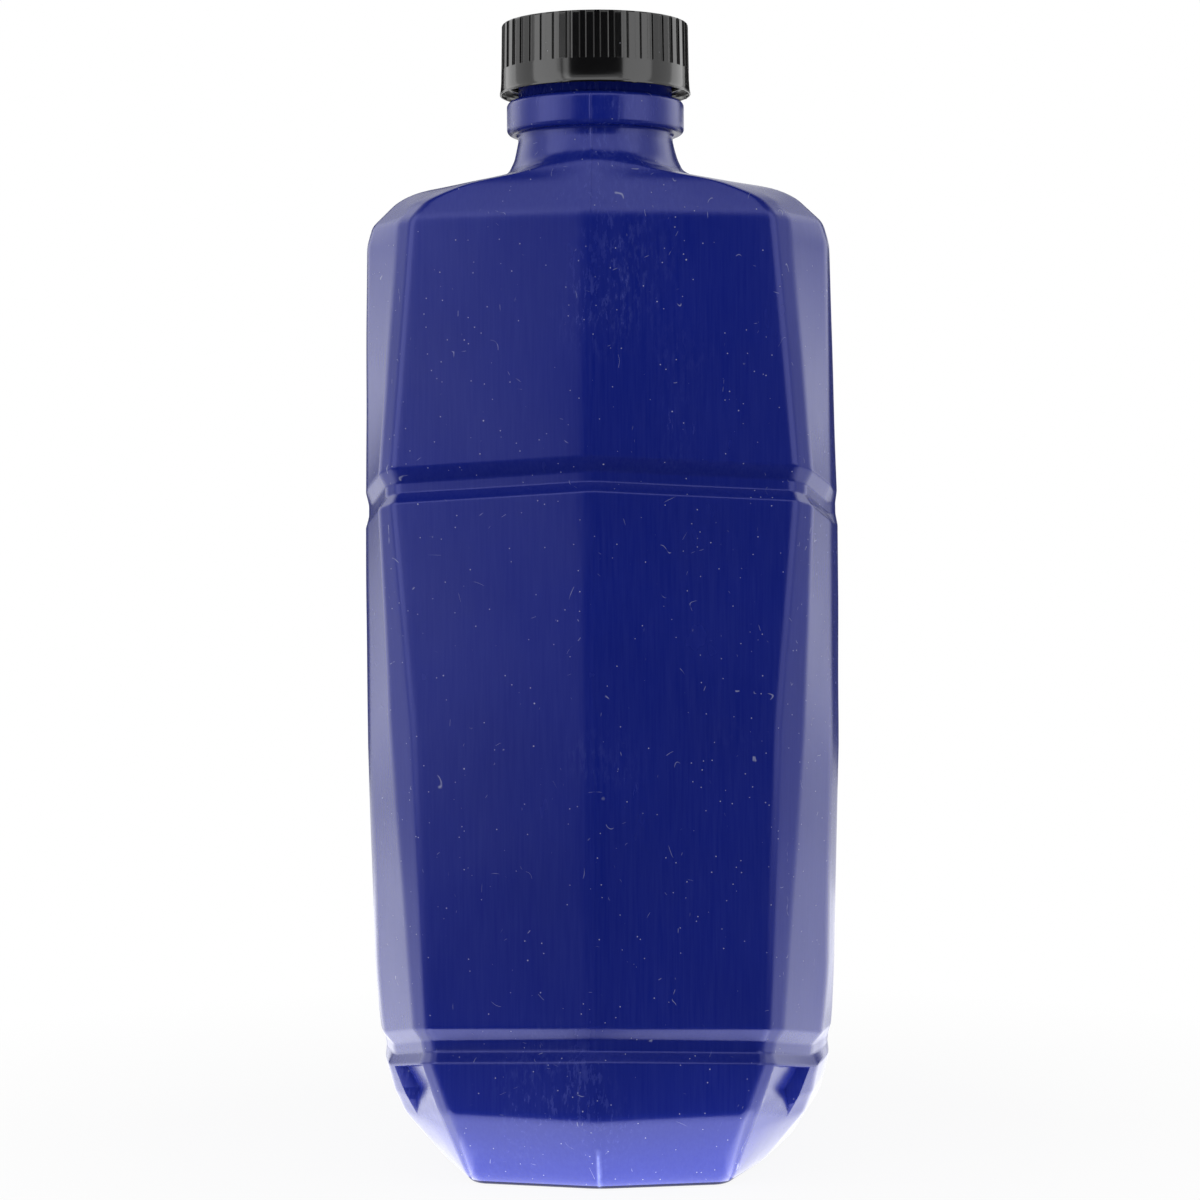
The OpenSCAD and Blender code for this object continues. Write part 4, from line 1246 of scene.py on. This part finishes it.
        upright("left_front_wall", -58.5, 1.0, 0.71, 1.1, s.fronts)
        upright("right_front_wall", 56.5, 1.0, 0.7, 1.1, s.fronts * 0.78)
        upright("left_slit", -32.7, 1.1, 0.14, 0.9, s.slit)
        for side, rim in ((-1, 0.85), (1, 1.1)):
            tent_panel("side_wall", (side * 0.8, 0.02, 0.5), (0.0, 0.02, 0.5), (0.5, 1.3), s.walls)
            tent_panel("back_corner", (side * 0.86, 0.52, 0.4), aim, (0.5, 1.2), s.rims * rim)
            for name, x, y, size, level in (("foot_glow", 0.082, 0.02, (0.095, 0.2), s.apron * 0.4),
                                            ("side_table", 0.35, 0.2, (0.44, 0.7), s.tables)):
                tent_panel(name, (side * x, y, table), (side * x, y, 1.0), size, level)
        tent_panel("brow", (0.0, axis_y - 0.85, 1.05), aim, (1.3, 0.55), s.brow)
        tent_panel("roof", (0.0, 0.1, 1.25), aim, (1.3, 1.3), s.roof)
        tent_panel("apron", (0.0, -0.086, table), (0.0, -0.086, 1.0), (0.15, 0.032), s.apron)

        camera = bpy.data.objects.new("camera", bpy.data.cameras.new("camera"))
        scene.collection.objects.link(camera)
        lens = camera.data
        lens.lens, lens.sensor_width, lens.sensor_fit = s.lens, 36.0, "HORIZONTAL"
        lens.clip_start, lens.clip_end = 0.01, 20.0
        lens.shift_x, lens.shift_y = 2 / 1200, -50 / 1200
        camera.matrix_world = (
            Matrix.Translation((math.sin(s.yaw) * s.distance, axis_y - math.cos(s.yaw) * s.distance, s.height))
            @ Matrix.Rotation(s.yaw, 4, "Z") @ Matrix.Rotation(math.pi / 2, 4, "X") @ Matrix.Rotation(s.roll, 4, "Z"))
        scene.camera = camera
        scene.view_settings.view_transform = "Standard"
        return {"FINISHED"}


class JUG_PT_panel(Panel):
    """Lists the jug's pieces in the sidebar."""

    bl_label = "Jug"
    bl_idname = "JUG_PT_panel"
    bl_space_type = "VIEW_3D"
    bl_region_type = "UI"
    bl_category = "Jug"

    def draw(self, context):
        layout = self.layout
        for name in STEPS:
            layout.operator("jug." + name)
        for group in ("jug_sizes", "cap_sizes", "jug_finishes", "jug_stage"):
            box = layout.box()
            settings = getattr(context.scene, group)
            for key in type(settings).__annotations__:
                box.prop(settings, key)


STEPS = ("body", "cap_shell", "inner_cap", "liner", "stage")
GROUPS = {"jug_sizes": JugSizes, "cap_sizes": CapSizes, "jug_finishes": Finishes, "jug_stage": StageSettings}
CLASSES = (*GROUPS.values(), JUG_OT_body, JUG_OT_cap_shell, JUG_OT_inner_cap, JUG_OT_liner,
           JUG_OT_stage, JUG_PT_panel)


def register():
    for entry in CLASSES:
        bpy.utils.register_class(entry)
    for name, group in GROUPS.items():
        setattr(bpy.types.Scene, name, PointerProperty(type=group))


def unregister():
    for name in GROUPS:
        delattr(bpy.types.Scene, name)
    for entry in reversed(CLASSES):
        bpy.utils.unregister_class(entry)


def main():
    register()
    for name in STEPS:
        getattr(bpy.ops.jug, name)()


if __name__ == "__main__":
    main()
